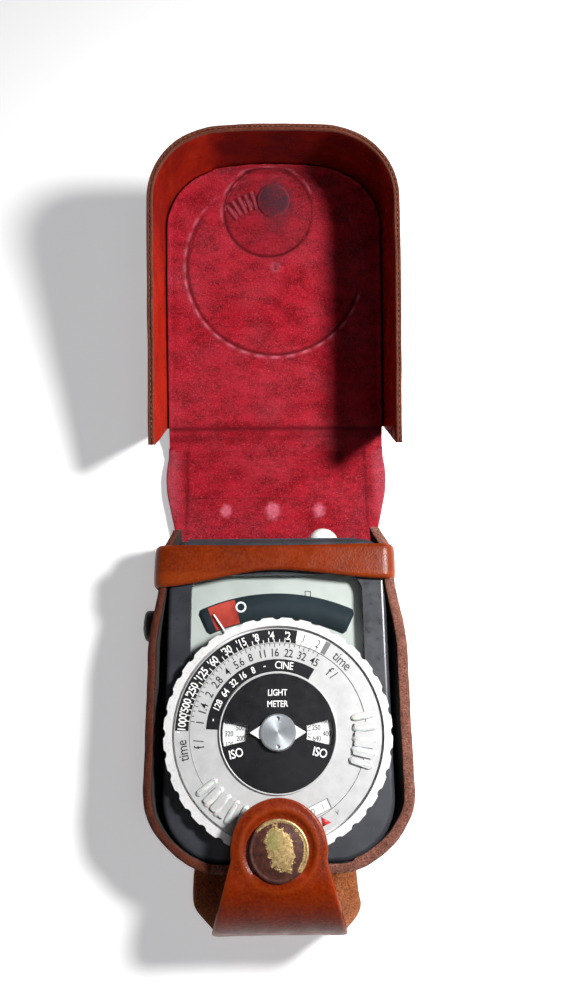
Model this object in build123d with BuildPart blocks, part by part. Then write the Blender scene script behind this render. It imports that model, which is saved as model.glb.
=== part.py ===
from build123d import *
import os
from math import cos, radians, sin

os.makedirs("parts", exist_ok=True)

# Hand-held exposure meter lying in its open leather case.
# Origin: on the case's back face, under the centre of the meter's dial.
# +X to the right of the dial, +Y towards the lid, +Z up out of the dial. Millimetres and degrees.

# ---- driving dimensions: the meter ----
meter_half = 25.0  # half the body's width
meter_bottom = -26.4  # y of the end nearest the dial
meter_top = 43.4  # y of the end that holds the cell
bottom_corner = 13.0
top_corner = 5.0
rear_z = 2.0  # back of the body
split_z = 9.0  # joint between the two shells
face_z = 20.5  # front face of the body
shell_wall = 1.5
end_wall = 2.0  # the end wall that holds the cell is thicker
inner_z = face_z - shell_wall
floor_z = rear_z + shell_wall

# ---- driving dimensions: the case ----
leather = 1.6
pile = 0.4  # velvet lining
tray_gap = 0.25
tray_half = meter_half + tray_gap + leather
tray_bottom = meter_bottom - tray_gap - leather
tray_rim_z = 21.0
tray_end = 46.8  # where the tray's side walls stop
fold_rise = 1.3  # a fold is a soft round bend, so it turns about a line above the leather
fold_y = 47.4  # fold between tray and hinge strip
fold_z = leather / 2 + fold_rise
fold_gap = 1.25  # bare leather left beside each fold
strip_length = 22.7
lid_fold_y = fold_y + strip_length
lid_angle = 17.5  # how far the open lid stands up from flat
lid_length = 76.1  # fold to the inside of the lid's end wall
lid_half = 28.6  # inside half width of the lid
lid_wall_ply = 0.75
lid_rim = 24.0  # height of the lid's rim over its fold line
lid_corner = 15.5

# ---- driving dimensions: the dial ----
ring_radius = 24.7
ring_inner = 22.9
scallops = 36
plate_radius = 22.4
time_inner = 19.2
disc_radius = 12.6
spindle_radius = 2.0
clearance = 0.05

# ---- driving dimensions: movement, cell, battery and button ----
pivot_y = 4.7
needle_length = 26.0
needle_rest = 34.0  # degrees left of +Y
cell_x = -1.1
dome_x = 11.1
dome_z = 14.7
dome_radius = 3.8
dome_travel = 24.3
battery_x = -11.5
battery_y = -12.5
battery_radius = 7.8
button_y = 8.0
button_z = 13.0

# the middle of the lid's leather, with its Y along the lid and starting at the fold
lid_plane = Plane(
    origin=(
        0,
        lid_fold_y + fold_rise * sin(radians(lid_angle)),
        fold_z - fold_rise * cos(radians(lid_angle)),
    ),
    x_dir=(1, 0, 0),
    z_dir=(0, -sin(radians(lid_angle)), cos(radians(lid_angle))),
)


def save(builder, name):
    """Label a finished piece and write it as its own STEP file."""
    builder.part.label = name
    export_step(builder.part, f"parts/{name}.step")


def bay(half, square_y, round_y, corner):
    """Sketch of a rectangle whose two corners at round_y are rounded."""
    with BuildSketch() as shape:
        with Locations((0, (square_y + round_y) / 2)):
            Rectangle(2 * half, abs(square_y - round_y))
        ordered = shape.vertices().sort_by(Axis.Y)
        ends = ordered[:2] if round_y < square_y else ordered[-2:]
        fillet(ends, corner)
    return shape.sketch


def meter_outline(inset, top_inset):
    """The body's outline, drawn in by inset, and by top_inset at the cell's end."""
    with BuildSketch() as shape:
        add(
            bay(
                meter_half - inset,
                meter_top - top_inset,
                meter_bottom + inset,
                bottom_corner - inset,
            )
        )
        fillet(shape.vertices().sort_by(Axis.Y)[-2:], top_corner - inset)
    return shape.sketch


def disc(radius, inner, low, high, centre=(0, 0)):
    """A flat round piece, with a hole if inner is more than nothing."""
    with BuildPart() as piece:
        with BuildSketch(Plane.XY.offset(low)):
            with Locations(centre):
                Circle(radius)
                if inner:
                    Circle(inner, mode=Mode.SUBTRACT)
        extrude(amount=high - low)
    return piece


# =========================== leather case: tray ===========================

with BuildPart() as tray_back:
    with BuildSketch():
        add(bay(tray_half, tray_end + 0.1, tray_bottom, bottom_corner + tray_gap + leather))
    extrude(amount=leather)
save(tray_back, "tray_back")

with BuildPart() as tray_wall:
    with BuildSketch(Plane.XY.offset(leather)):
        add(bay(tray_half, tray_end, tray_bottom, bottom_corner + tray_gap + leather))
        add(
            bay(
                meter_half + tray_gap,
                tray_end + 1,
                meter_bottom - tray_gap,
                bottom_corner + tray_gap,
            ),
            mode=Mode.SUBTRACT,
        )
    extrude(amount=tray_rim_z - leather)
    with BuildSketch(Plane.YZ.offset(-tray_half - 1)):
        with Locations((button_y, button_z)):
            Circle(4.2)
    extrude(amount=4, mode=Mode.SUBTRACT)
save(tray_wall, "tray_wall")

with BuildPart() as tray_lining:
    with BuildSketch(Plane.XY.offset(leather)):
        add(bay(meter_half, tray_end - 0.5, meter_bottom, bottom_corner))
    extrude(amount=pile)
save(tray_lining, "tray_lining")

strap_low_y = 33.7
strap_high_y = 41.6
strap_mid_y = (strap_low_y + strap_high_y) / 2
strap_leg = 0.8
strap_bottom_z = tray_rim_z + 0.3
strap_top_z = strap_bottom_z + 1.1
rivet_z = 9.5
right_rivet_y = 34.0
with BuildPart() as retaining_strap:
    with BuildSketch(Plane.XZ.offset(-strap_high_y)):
        with Locations((0, (rivet_z + strap_top_z) / 2)):
            Rectangle(2 * (tray_half + strap_leg), strap_top_z - rivet_z)
        with Locations((0, (rivet_z + strap_bottom_z) / 2)):
            Rectangle(2 * tray_half, strap_bottom_z - rivet_z, mode=Mode.SUBTRACT)
    extrude(amount=strap_high_y - strap_low_y)
    fillet(retaining_strap.edges().filter_by(Axis.Y).group_by(Axis.Z)[-1], 0.7)
    with BuildSketch(Plane.YZ.offset(tray_half)):
        with Locations((strap_mid_y, rivet_z + 2)):
            Rectangle(strap_high_y - strap_low_y, 4)
        with Locations((right_rivet_y, rivet_z)):
            Circle(4.0)
        make_hull()
    extrude(amount=strap_leg)
    with BuildSketch(Plane.YZ.offset(-tray_half)):
        with Locations((strap_mid_y, rivet_z)):
            Circle((strap_high_y - strap_low_y) / 2)
    extrude(amount=-strap_leg)
save(retaining_strap, "retaining_strap")

rivet_radius = 3.3
rivet_height = 0.6
with BuildPart() as strap_rivets:
    for side, rivet_y in ((1, right_rivet_y), (-1, strap_mid_y)):
        with BuildSketch(Plane.YZ.offset(side * (tray_half + strap_leg))):
            with Locations((rivet_y, rivet_z)):
                Circle(rivet_radius)
        extrude(amount=side * rivet_height)
    chamfer(strap_rivets.faces().sort_by(Axis.X)[0].edges(), 0.3)
    chamfer(strap_rivets.faces().sort_by(Axis.X)[-1].edges(), 0.3)
save(strap_rivets, "strap_rivets")

tab_thickness = 1.3
with BuildPart() as lanyard_tab:
    with BuildSketch(Plane.YZ.offset(-tray_half)):
        with Locations((24.5, rivet_z)):
            RectangleRounded(7.0, 9.0, 2.0)
    extrude(amount=-tab_thickness)
save(lanyard_tab, "lanyard_tab")

# =========================== leather case: hinge strip and lid ===========================

strip_near_half = 26.3
strip_far_half = 28.8


def strip_outline():
    """The hinge strip in plan: a little wider where it meets the lid."""
    with BuildSketch() as shape:
        with BuildLine():
            Polyline(
                (-strip_near_half, fold_y + fold_gap),
                (strip_near_half, fold_y + fold_gap),
                (strip_far_half, lid_fold_y - fold_gap),
                (-strip_far_half, lid_fold_y - fold_gap),
                close=True,
            )
        make_face()
    return shape.sketch


with BuildPart() as hinge_panel:
    with BuildSketch():
        add(strip_outline())
    extrude(amount=leather)
save(hinge_panel, "hinge_panel")

with BuildPart() as hinge_lining:
    with BuildSketch(Plane.XY.offset(leather)):
        add(strip_outline())
    extrude(amount=pile)
save(hinge_lining, "hinge_lining")

lid_outer = lid_half + 2 * lid_wall_ply
lid_end = lid_length + 2 * lid_wall_ply
wall_base_start = 8.0  # the side walls begin this far from the fold
wall_rim_start = 2.2  # and reach nearer to it at the rim
stud_s = 67.5
stud_shank = 1.2

with BuildPart() as lid_panel:
    with BuildSketch(lid_plane.offset(-leather / 2)):
        add(bay(lid_outer, fold_gap, lid_end, lid_corner + 2 * lid_wall_ply))
        with Locations((0, stud_s)):
            Circle(stud_shank + clearance, mode=Mode.SUBTRACT)
    extrude(amount=leather)
save(lid_panel, "lid_panel")


def lid_ply(inner_half, inner_end, inner_corner, rim):
    """One ply of the lid's wall: three sides, with its two free ends cut on a slant."""
    with BuildPart() as ply:
        with BuildSketch(lid_plane.offset(leather / 2)):
            add(
                bay(
                    inner_half + lid_wall_ply,
                    0,
                    inner_end + lid_wall_ply,
                    inner_corner + lid_wall_ply,
                )
            )
            add(bay(inner_half, -1, inner_end, inner_corner), mode=Mode.SUBTRACT)
        extrude(amount=rim - leather / 2)
        side = Plane(origin=lid_plane.origin, x_dir=lid_plane.y_dir, z_dir=(1, 0, 0))
        with BuildSketch(side.offset(-lid_outer - 1)):
            with BuildLine():
                Polyline(
                    (-1, 0),
                    (wall_base_start, 0),
                    (wall_base_start, leather / 2),
                    (wall_rim_start, rim + 1),
                    (-1, rim + 1),
                    close=True,
                )
            make_face()
        extrude(amount=2 * lid_outer + 2, mode=Mode.SUBTRACT)
    return ply


lid_wall = lid_ply(
    lid_half + lid_wall_ply, lid_length + lid_wall_ply, lid_corner + lid_wall_ply, lid_rim
)
save(lid_wall, "lid_wall")

lid_wall_liner = lid_ply(lid_half, lid_length, lid_corner, lid_rim)
save(lid_wall_liner, "lid_wall_liner")

lining_half = lid_half - 0.2
with BuildPart() as lid_lining:
    with BuildSketch(lid_plane.offset(leather / 2)):
        add(bay(lining_half, fold_gap, lid_length - 0.2, lid_corner - 0.2))
        with Locations((0, stud_s)):
            Circle(stud_shank + clearance, mode=Mode.SUBTRACT)
    extrude(amount=pile)
save(lid_lining, "lid_lining")

with BuildPart() as lid_stud:
    with BuildSketch(lid_plane.offset(-leather / 2)):
        with Locations((0, stud_s)):
            Circle(4.2)
    extrude(amount=-0.4)
    with BuildSketch(lid_plane.offset(-leather / 2)):
        with Locations((0, stud_s)):
            Circle(2.0)
    extrude(amount=-2.4)
    with BuildSketch(lid_plane.offset(-leather / 2 - 1.4)):
        with Locations((0, stud_s)):
            Circle(2.3)
    extrude(amount=-0.7)
    with BuildSketch(lid_plane.offset(-leather / 2)):
        with Locations((0, stud_s)):
            Circle(stud_shank)
    extrude(amount=leather + pile)
save(lid_stud, "lid_stud")

with BuildPart() as stud_washer:
    with BuildSketch(lid_plane.offset(leather / 2 + pile)):
        with Locations((0, stud_s)):
            Circle(4.0)
    extrude(amount=0.5)
    chamfer(stud_washer.faces().sort_by(Axis.Z)[-1].edges(), 0.25)
save(stud_washer, "stud_washer")

# =========================== leather case: tongue and press stud ===========================

curl_y = -27.0  # the tongue curls up round this line
curl_low = 0.9
curl_high = 27.7
curl_z = (curl_low + curl_high) / 2
curl_radius = (curl_high - curl_low) / 2
tongue_leather = 1.4
tongue_fold_deg = 31.0  # where along the curl the tongue hinges
tongue_gap_deg = 4.0
tip_radius = 9.9
snap_y = -22.8
base_half = 18.6
curl_half = 14.3


def curl_sector(start, end):
    """Side view of the curled leather from start to end, in degrees round from the bottom."""
    outer = curl_radius + tongue_leather / 2
    inner = curl_radius - tongue_leather / 2
    with BuildSketch() as shape:
        with BuildLine():
            low = CenterArc((curl_y, curl_z), outer, 270 - end, end - start)
            high = CenterArc((curl_y, curl_z), inner, 270 - end, end - start)
            Line(low @ 0, high @ 0)
            Line(low @ 1, high @ 1)
        make_face()
    return shape.sketch


with BuildPart() as tongue_base:
    with BuildSketch(Plane.YZ.offset(-base_half)):
        add(curl_sector(0, tongue_fold_deg))
    extrude(amount=2 * base_half)
    with BuildSketch() as base_plan:
        with BuildLine():
            Polyline(
                (-base_half, -20),
                (-base_half, -30),
                (-curl_half, -41.5),
                (curl_half, -41.5),
                (base_half, -30),
                (base_half, -20),
                close=True,
            )
        make_face()
        add(
            bay(tray_half, tray_end, tray_bottom, bottom_corner + tray_gap + leather),
            mode=Mode.SUBTRACT,
        )
    extrude(amount=10, mode=Mode.INTERSECT)
save(tongue_base, "tongue_base")

with BuildPart() as tongue:
    with BuildSketch(Plane.YZ.offset(-curl_half)):
        add(curl_sector(tongue_fold_deg + tongue_gap_deg, 180))
        with Locations(((curl_y + snap_y + tip_radius) / 2, curl_high)):
            Rectangle(snap_y + tip_radius - curl_y, tongue_leather)
    extrude(amount=2 * curl_half)
    with BuildSketch() as tongue_plan:
        with Locations((0, snap_y)):
            Circle(tip_radius)
        with Locations((0, -41.8)):
            Rectangle(2 * curl_half - 1.4, 1)
        make_hull()
    extrude(amount=40, mode=Mode.INTERSECT)
    with Locations((0, snap_y, curl_high)):
        Cylinder(stud_shank + clearance, 4, mode=Mode.SUBTRACT)
save(tongue, "tongue")

tongue_top = curl_high + tongue_leather / 2
cap_radius = 6.05
cap_height = 1.2
with BuildPart() as snap_cap:
    with BuildSketch(Plane.XY.offset(tongue_top)):
        with Locations((0, snap_y)):
            Circle(cap_radius)
    extrude(amount=cap_height)
    fillet(snap_cap.faces().sort_by(Axis.Z)[-1].edges(), 0.8)
    with BuildSketch(Plane.XY.offset(curl_high)):
        with Locations((0, snap_y)):
            Circle(stud_shank)
    extrude(amount=tongue_leather / 2)
save(snap_cap, "snap_cap")

tongue_under = curl_high - tongue_leather / 2
snap_socket = disc(4.6, 2.4, tongue_under - 2.4, tongue_under, (0, snap_y))
save(snap_socket, "snap_socket")

# =========================== meter: shells and windows ===========================

screw_places = ((-19.5, 38.9), (19.5, 38.9), (0, -22.0))
screw_shank = 1.0
screw_head = 1.9
window_half = 19.6
window_top = 35.0
window_low = 14.4
zero_x = 6.0
zero_y = 13.5
cover_radius = 9.0
board_feet = ((6.0, -15.0), (18.0, -15.0))
board_low = floor_z + 1.0

with BuildPart() as rear_shell:
    with BuildSketch(Plane.XY.offset(rear_z)):
        add(meter_outline(0, 0))
    extrude(amount=split_z - rear_z)
    fillet(rear_shell.faces().sort_by(Axis.Z)[0].edges(), 1.2)
    with BuildSketch(Plane.XY.offset(floor_z)):
        add(meter_outline(shell_wall, end_wall))
    extrude(amount=split_z, mode=Mode.SUBTRACT)
    with BuildSketch(Plane.XY.offset(floor_z)):
        with Locations(*board_feet):
            Circle(1.5)
    extrude(amount=board_low - floor_z)
    with BuildSketch(Plane.XY.offset(rear_z)):
        with Locations((battery_x, battery_y)):
            Circle(cover_radius + clearance)
        with Locations((zero_x, zero_y)):
            Circle(1.6 + clearance)
        with Locations(*screw_places):
            Circle(screw_shank + clearance)
    extrude(amount=shell_wall, mode=Mode.SUBTRACT)
    with BuildSketch(Plane.XY.offset(rear_z)):
        with Locations(*screw_places):
            Circle(screw_head + clearance)
    extrude(amount=0.9, mode=Mode.SUBTRACT)
save(rear_shell, "rear_shell")

channel_low = 10.5
channel_high = 18.9
channel_depth = 1.0
slider_half = 6.0
channel_left = dome_x - dome_travel - slider_half - 1.0
channel_right = dome_x + slider_half + 1.0
with BuildPart() as front_shell:
    with BuildSketch(Plane.XY.offset(split_z)):
        add(meter_outline(0, 0))
    extrude(amount=face_z - split_z)
    fillet(front_shell.faces().sort_by(Axis.Z)[-1].edges(), 1.1)
    with BuildSketch(Plane.XY.offset(split_z)):
        add(meter_outline(shell_wall, end_wall))
    extrude(amount=inner_z - split_z, mode=Mode.SUBTRACT)
    with BuildSketch(Plane.XY.offset(inner_z)):
        add(bay(window_half, window_low, window_top, 4.0))
        Circle(spindle_radius + clearance)
    extrude(amount=shell_wall, mode=Mode.SUBTRACT)
    with BuildSketch(Plane.XY.offset(inner_z)):
        Circle(5.0)
        Circle(spindle_radius + clearance, mode=Mode.SUBTRACT)
    extrude(amount=-1.5)
    with BuildSketch(Plane.XY.offset(floor_z)):
        with Locations(*screw_places):
            Circle(2.3)
            Circle(screw_shank + clearance, mode=Mode.SUBTRACT)
    extrude(amount=inner_z - floor_z)
    with BuildSketch(Plane.XZ.offset(-meter_top)):
        with Locations(
            ((channel_left + channel_right) / 2, (channel_low + channel_high) / 2)
        ):
            Rectangle(channel_right - channel_left, channel_high - channel_low)
    extrude(amount=channel_depth, mode=Mode.SUBTRACT)
    with BuildSketch(Plane.XZ.offset(-meter_top)):
        with Locations((cell_x, dome_z)):
            Circle(3.15)
    extrude(amount=end_wall + 0.5, mode=Mode.SUBTRACT)
    with BuildSketch(Plane.YZ.offset(-meter_half - 1)):
        with Locations((button_y, button_z)):
            Circle(3.0 + clearance)
    extrude(amount=4, mode=Mode.SUBTRACT)
save(front_shell, "front_shell")

with BuildPart() as window:
    with BuildSketch(Plane.XY.offset(inner_z)):
        add(bay(window_half - clearance, window_low + clearance, window_top - clearance, 3.95))
    extrude(amount=shell_wall - 0.15)
    with BuildSketch(Plane.XY.offset(inner_z - 0.3)):
        add(bay(window_half + 0.6, window_low, window_top + 0.8, 4.5))
    extrude(amount=0.3)
save(window, "window")

plate_half = 20.4
with BuildPart() as scale_plate:
    with BuildSketch(Plane.XY.offset(17.0)):
        with Locations((0, 26.0)):
            Rectangle(2 * plate_half, 20.4)
    extrude(amount=0.5)
    with BuildSketch(Plane.XY.offset(17.0)):
        with Locations((-plate_half - 0.4, 26.0), (plate_half + 0.4, 26.0)):
            Rectangle(0.8, 12.0)
    extrude(amount=inner_z - 17.0)
save(scale_plate, "scale_plate")

with BuildPart() as shell_screws:
    for place in screw_places:
        with BuildSketch(Plane.XY.offset(rear_z + 0.1)):
            with Locations(place):
                Circle(screw_head)
        extrude(amount=0.8)
        with BuildSketch(Plane.XY.offset(rear_z + 0.9)):
            with Locations(place):
                Circle(screw_shank)
        extrude(amount=9.0)
        with BuildSketch(Plane.XY.offset(rear_z + 0.1)):
            with Locations(place):
                Rectangle(3.0, 0.5)
        extrude(amount=0.4, mode=Mode.SUBTRACT)
save(shell_screws, "shell_screws")

# =========================== meter: cell, dome and slider ===========================

slider_y = meter_top - clearance
with BuildPart() as photocell:
    with BuildSketch(Plane.XZ.offset(-(meter_top - end_wall))):
        with Locations((cell_x, dome_z)):
            Circle(3.0)
    extrude(amount=4.4)
    with BuildSketch(Plane.XZ.offset(-(meter_top - end_wall - 4.4))):
        with Locations((cell_x - 1.2, dome_z), (cell_x + 1.2, dome_z)):
            Circle(0.3)
    extrude(amount=3.0)
save(photocell, "photocell")

with BuildPart() as cell_window:
    with BuildSketch(Plane.XZ.offset(-(meter_top - channel_depth))):
        with Locations((cell_x, dome_z)):
            Circle(3.1)
    extrude(amount=end_wall - channel_depth - 0.05)
save(cell_window, "cell_window")

with BuildPart() as dome_slider:
    with BuildSketch(Plane.XZ.offset(-slider_y)):
        with Locations((dome_x, (channel_low + channel_high) / 2)):
            RectangleRounded(2 * slider_half, channel_high - channel_low - 0.2, 0.8)
    extrude(amount=channel_depth - 2 * clearance)
save(dome_slider, "dome_slider")

with BuildPart() as incident_dome:
    with Locations((dome_x, slider_y, dome_z)):
        Sphere(dome_radius)
    with Locations((dome_x, slider_y - 5, dome_z)):
        Box(10, 10, 10, mode=Mode.SUBTRACT)
    with Locations((dome_x, slider_y, dome_z)):
        Sphere(dome_radius - 0.8, mode=Mode.SUBTRACT)
save(incident_dome, "incident_dome")

with BuildPart() as slider_rails:
    for low, high in ((9.8, 10.75), (18.65, 19.4)):
        with BuildSketch(Plane.XZ.offset(-meter_top)):
            with Locations(((channel_left + channel_right) / 2, (low + high) / 2)):
                Rectangle(channel_right - channel_left + 1.0, high - low)
        extrude(amount=-0.4)
save(slider_rails, "slider_rails")

# =========================== meter: moving-coil movement ===========================

movement_centre = (0, pivot_y)
base_top = floor_z + 1.0
bar_low = 13.6
with BuildPart() as movement_bridge:
    with BuildSketch(Plane.XY.offset(floor_z)):
        with Locations((0, pivot_y)):
            Rectangle(21.0, 11.0)
    extrude(amount=1.0)
    with BuildSketch(Plane.XY.offset(base_top)):
        with Locations((-9.3, pivot_y), (9.3, pivot_y)):
            Rectangle(1.2, 3.6)
    extrude(amount=bar_low - base_top)
    with BuildSketch(Plane.XY.offset(bar_low)):
        with Locations((0, pivot_y)):
            Rectangle(19.8, 3.6)
            Circle(1.2, mode=Mode.SUBTRACT)
    extrude(amount=1.0)
save(movement_bridge, "movement_bridge")

yoke = disc(8.6, 7.0, base_top, 11.8, movement_centre)
save(yoke, "yoke")

with BuildPart() as core_magnet:
    with BuildSketch(Plane.XY.offset(7.0)):
        with Locations(movement_centre):
            Circle(4.7)
    extrude(amount=4.4)
    with BuildSketch(Plane.XY.offset(8.0)):
        with Locations((0, pivot_y - 5.8), (0, pivot_y + 5.8)):
            Rectangle(1.6, 2.25)
    extrude(amount=2.4)
save(core_magnet, "core_magnet")

with BuildPart() as bearing_screws:
    for low, high, cup in ((base_top, 5.4, 5.2), (bar_low - 0.1, 14.9, bar_low - 0.1)):
        with BuildSketch(Plane.XY.offset(low)):
            with Locations(movement_centre):
                Circle(1.2)
        extrude(amount=high - low)
        with BuildSketch(Plane.XY.offset(cup)):
            with Locations(movement_centre):
                Circle(0.5)
        extrude(amount=0.3, mode=Mode.SUBTRACT)
save(bearing_screws, "bearing_screws")

coil_plane = Plane(
    origin=(0, pivot_y, 0),
    x_dir=(-sin(radians(needle_rest)), cos(radians(needle_rest)), 0),
    z_dir=(0, 0, 1),
)
with BuildPart() as coil_frame:
    with BuildSketch(coil_plane.offset(6.0)):
        Rectangle(2.4, 12.4)
    extrude(amount=6.4)
    with BuildSketch(coil_plane.offset(6.8)):
        Rectangle(3.0, 10.4)
    extrude(amount=4.8, mode=Mode.SUBTRACT)
    with BuildSketch(coil_plane.offset(5.25)):
        Circle(0.4)
    extrude(amount=0.75)
    with BuildSketch(coil_plane.offset(12.4)):
        Circle(0.4)
    extrude(amount=1.3)
save(coil_frame, "coil_frame")

needle_top = 18.3
riser = 9.0
with BuildPart() as needle:
    with BuildSketch(coil_plane.offset(12.5)):
        with Locations(((riser - 4.5) / 2, 0)):
            Rectangle(riser + 4.5, 0.6)
        Circle(1.1)
        with Locations((-4.2, 0)):
            Circle(0.9)
        Circle(0.4, mode=Mode.SUBTRACT)
    extrude(amount=0.4)
    with BuildSketch(coil_plane.offset(12.5)):
        with Locations((riser, 0)):
            Rectangle(0.4, 0.6)
    extrude(amount=needle_top - 12.5)
    with BuildSketch(coil_plane.offset(needle_top - 0.2)):
        with Locations(((riser + needle_length) / 2, 0)):
            Rectangle(needle_length - riser, 0.35)
    extrude(amount=0.2)
save(needle, "needle")

with BuildPart() as hairspring:
    with BuildSketch(Plane.XY.offset(13.0)):
        with BuildLine():
            radius = 1.5
            side = 1
            while radius < 3.2:
                CenterArc(
                    (0.25 * (side - 1) / 2, pivot_y), radius, 0 if side > 0 else 180, 180
                )
                radius += 0.125 * 2 if side < 0 else 0.25
                side = -side
        trace(line_width=0.14)
    extrude(amount=0.3)
save(hairspring, "hairspring")

# =========================== meter: electrics ===========================

track_low = 16.7
resistor_track = disc(10.5, 2.6, track_low, 17.5)
save(resistor_track, "resistor_track")

with BuildPart() as circuit_board:
    with BuildSketch(Plane.XY.offset(board_low)):
        with Locations((11.8, -14.0)):
            Rectangle(15.6, 12.0)
    extrude(amount=1.0)
save(circuit_board, "circuit_board")

with BuildPart() as board_resistors:
    for x in (8.0, 11.0, 14.0):
        with Locations((x, -12.0, board_low + 2.0)):
            Cylinder(1.0, 6.0, rotation=(90, 0, 0))
save(board_resistors, "board_resistors")

with BuildPart() as calibration_trimmer:
    with Locations((18.0, -17.0, board_low + 2.5)):
        Box(4.4, 4.4, 3.0)
    with Locations((18.0, -17.0, board_low + 4.0)):
        Box(2.6, 0.5, 0.8, mode=Mode.SUBTRACT)
save(calibration_trimmer, "calibration_trimmer")

battery = disc(battery_radius, 0, floor_z, floor_z + 6.0, (battery_x, battery_y))
save(battery, "battery")

with BuildPart() as battery_contacts:
    with BuildSketch(Plane.XY.offset(floor_z + 6.0)):
        with Locations((battery_x + 8.5, battery_y)):
            Rectangle(17.0, 4.0)
    extrude(amount=0.35)
    with BuildSketch(Plane.XY.offset(board_low + 1.0)):
        with Locations((battery_x + 16.8, battery_y)):
            Rectangle(0.4, 4.0)
    extrude(amount=floor_z + 6.35 - board_low - 1.0)
    with BuildSketch(Plane.XY.offset(floor_z + 1.0)):
        with Locations((battery_x, battery_y + battery_radius + 0.2)):
            Rectangle(6.0, 0.35)
    extrude(amount=4.0)
save(battery_contacts, "battery_contacts")

with BuildPart() as battery_cover:
    with BuildSketch(Plane.XY.offset(rear_z)):
        with Locations((battery_x, battery_y)):
            Circle(cover_radius)
    extrude(amount=shell_wall - 0.1)
    with BuildSketch(Plane.XY.offset(rear_z)):
        with Locations((battery_x, battery_y)):
            SlotOverall(12.0, 1.8)
    extrude(amount=0.8, mode=Mode.SUBTRACT)
save(battery_cover, "battery_cover")

with BuildPart() as zero_adjust_screw:
    with BuildSketch(Plane.XY.offset(rear_z)):
        with Locations((zero_x, zero_y)):
            Circle(1.6)
    extrude(amount=shell_wall - 0.1)
    with BuildSketch(Plane.XY.offset(rear_z + shell_wall - 0.1)):
        with Locations((zero_x - 0.7, zero_y)):
            Circle(0.5)
    extrude(amount=3.0)
    with BuildSketch(Plane.XY.offset(rear_z)):
        with Locations((zero_x, zero_y)):
            Rectangle(2.6, 0.5)
    extrude(amount=0.5, mode=Mode.SUBTRACT)
save(zero_adjust_screw, "zero_adjust_screw")

button_inner = -meter_half + 2.6
with BuildPart() as power_button:
    with BuildSketch(Plane.YZ.offset(-tray_half + 0.3)):
        with Locations((button_y, button_z)):
            Circle(3.0)
    extrude(amount=button_inner + tray_half - 0.3)
    with BuildSketch(Plane.YZ.offset(-meter_half + shell_wall + clearance)):
        with Locations((button_y, button_z)):
            Circle(3.7)
    extrude(amount=button_inner + meter_half - shell_wall - clearance)
    chamfer(power_button.faces().sort_by(Axis.X)[0].edges(), 0.4)
save(power_button, "power_button")

with BuildPart() as switch_contacts:
    for x in (button_inner + 1.3, button_inner + 2.3):
        with Locations((x, button_y, button_z - 1.0)):
            Box(0.3, 6.0, 8.0)
save(switch_contacts, "switch_contacts")

with BuildPart() as switch_block:
    with Locations((button_inner + 1.8, button_y, (floor_z + button_z - 5.0) / 2)):
        Box(3.0, 7.0, button_z - 5.0 - floor_z)
save(switch_block, "switch_block")

# =========================== meter: calculator dial ===========================

web_low = face_z + 0.2
web_high = web_low + 0.6
ring_top = 23.3
with BuildPart() as dial_ring:
    with BuildSketch(Plane.XY.offset(web_low)):
        Circle(ring_radius)
        with PolarLocations(ring_radius + 0.75, scallops):
            Circle(1.2, mode=Mode.SUBTRACT)
        Circle(spindle_radius, mode=Mode.SUBTRACT)
    extrude(amount=ring_top - web_low)
    with BuildSketch(Plane.XY.offset(web_high)):
        Circle(ring_inner)
    extrude(amount=ring_top, mode=Mode.SUBTRACT)
save(dial_ring, "dial_ring")

speed_low = web_high + 0.1
speed_high = speed_low + 0.4
speed_disc = disc(plate_radius, spindle_radius + 0.2, speed_low, speed_high)
save(speed_disc, "speed_disc")

plate_top = 22.8
rib_radius = 18.75
with BuildPart() as dial_plate:
    with BuildSketch(Plane.XY.offset(speed_high)):
        Circle(plate_radius)
        Circle(time_inner, mode=Mode.SUBTRACT)
    extrude(amount=plate_top - speed_high)
    with BuildSketch(Plane.XY.offset(plate_top)):
        for start in (-20, 216):
            with PolarLocations(rib_radius, 5, start_angle=start, angular_range=30):
                RectangleRounded(4.4, 1.3, 0.4)
    extrude(amount=0.5)
save(dial_plate, "dial_plate")

f_low = speed_high + 0.1
f_number_disc = disc(time_inner - 0.1, disc_radius, f_low, 22.6)
save(f_number_disc, "f_number_disc")

disc_top = 23.0
with BuildPart() as centre_disc:
    with BuildSketch(Plane.XY.offset(f_low)):
        Circle(disc_radius)
        Circle(spindle_radius, mode=Mode.SUBTRACT)
        for start in (-13.5, 166.5):
            with BuildLine():
                outer_arc = CenterArc((0, 0), 12.0, start, 27)
                inner_arc = CenterArc((0, 0), 6.3, start, 27)
                Line(outer_arc @ 0, inner_arc @ 0)
                Line(outer_arc @ 1, inner_arc @ 1)
            make_face(mode=Mode.SUBTRACT)
    extrude(amount=disc_top - f_low)
save(centre_disc, "centre_disc")

with BuildPart() as hub:
    with BuildSketch(Plane.XY.offset(disc_top)):
        Circle(3.7)
        with BuildLine():
            Polyline(
                (-6.1, 0),
                (-3.0, 1.9),
                (3.0, 1.9),
                (6.1, 0),
                (3.0, -1.9),
                (-3.0, -1.9),
                close=True,
            )
        make_face()
        Circle(spindle_radius, mode=Mode.SUBTRACT)
    extrude(amount=0.7)
save(hub, "hub")

with BuildPart() as hub_nut:
    with BuildSketch(Plane.XY.offset(disc_top + 0.7)):
        Circle(3.9)
        with Locations((0, -2.9), (0, 2.9)):
            Circle(0.45, mode=Mode.SUBTRACT)
        Circle(spindle_radius, mode=Mode.SUBTRACT)
    extrude(amount=0.6)
    chamfer(hub_nut.faces().sort_by(Axis.Z)[-1].outer_wire().edges(), 0.3)
save(hub_nut, "hub_nut")

wiper_low = 15.8
dial_spindle = disc(spindle_radius, 0, 15.6, disc_top + 1.3)
save(dial_spindle, "dial_spindle")

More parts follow.
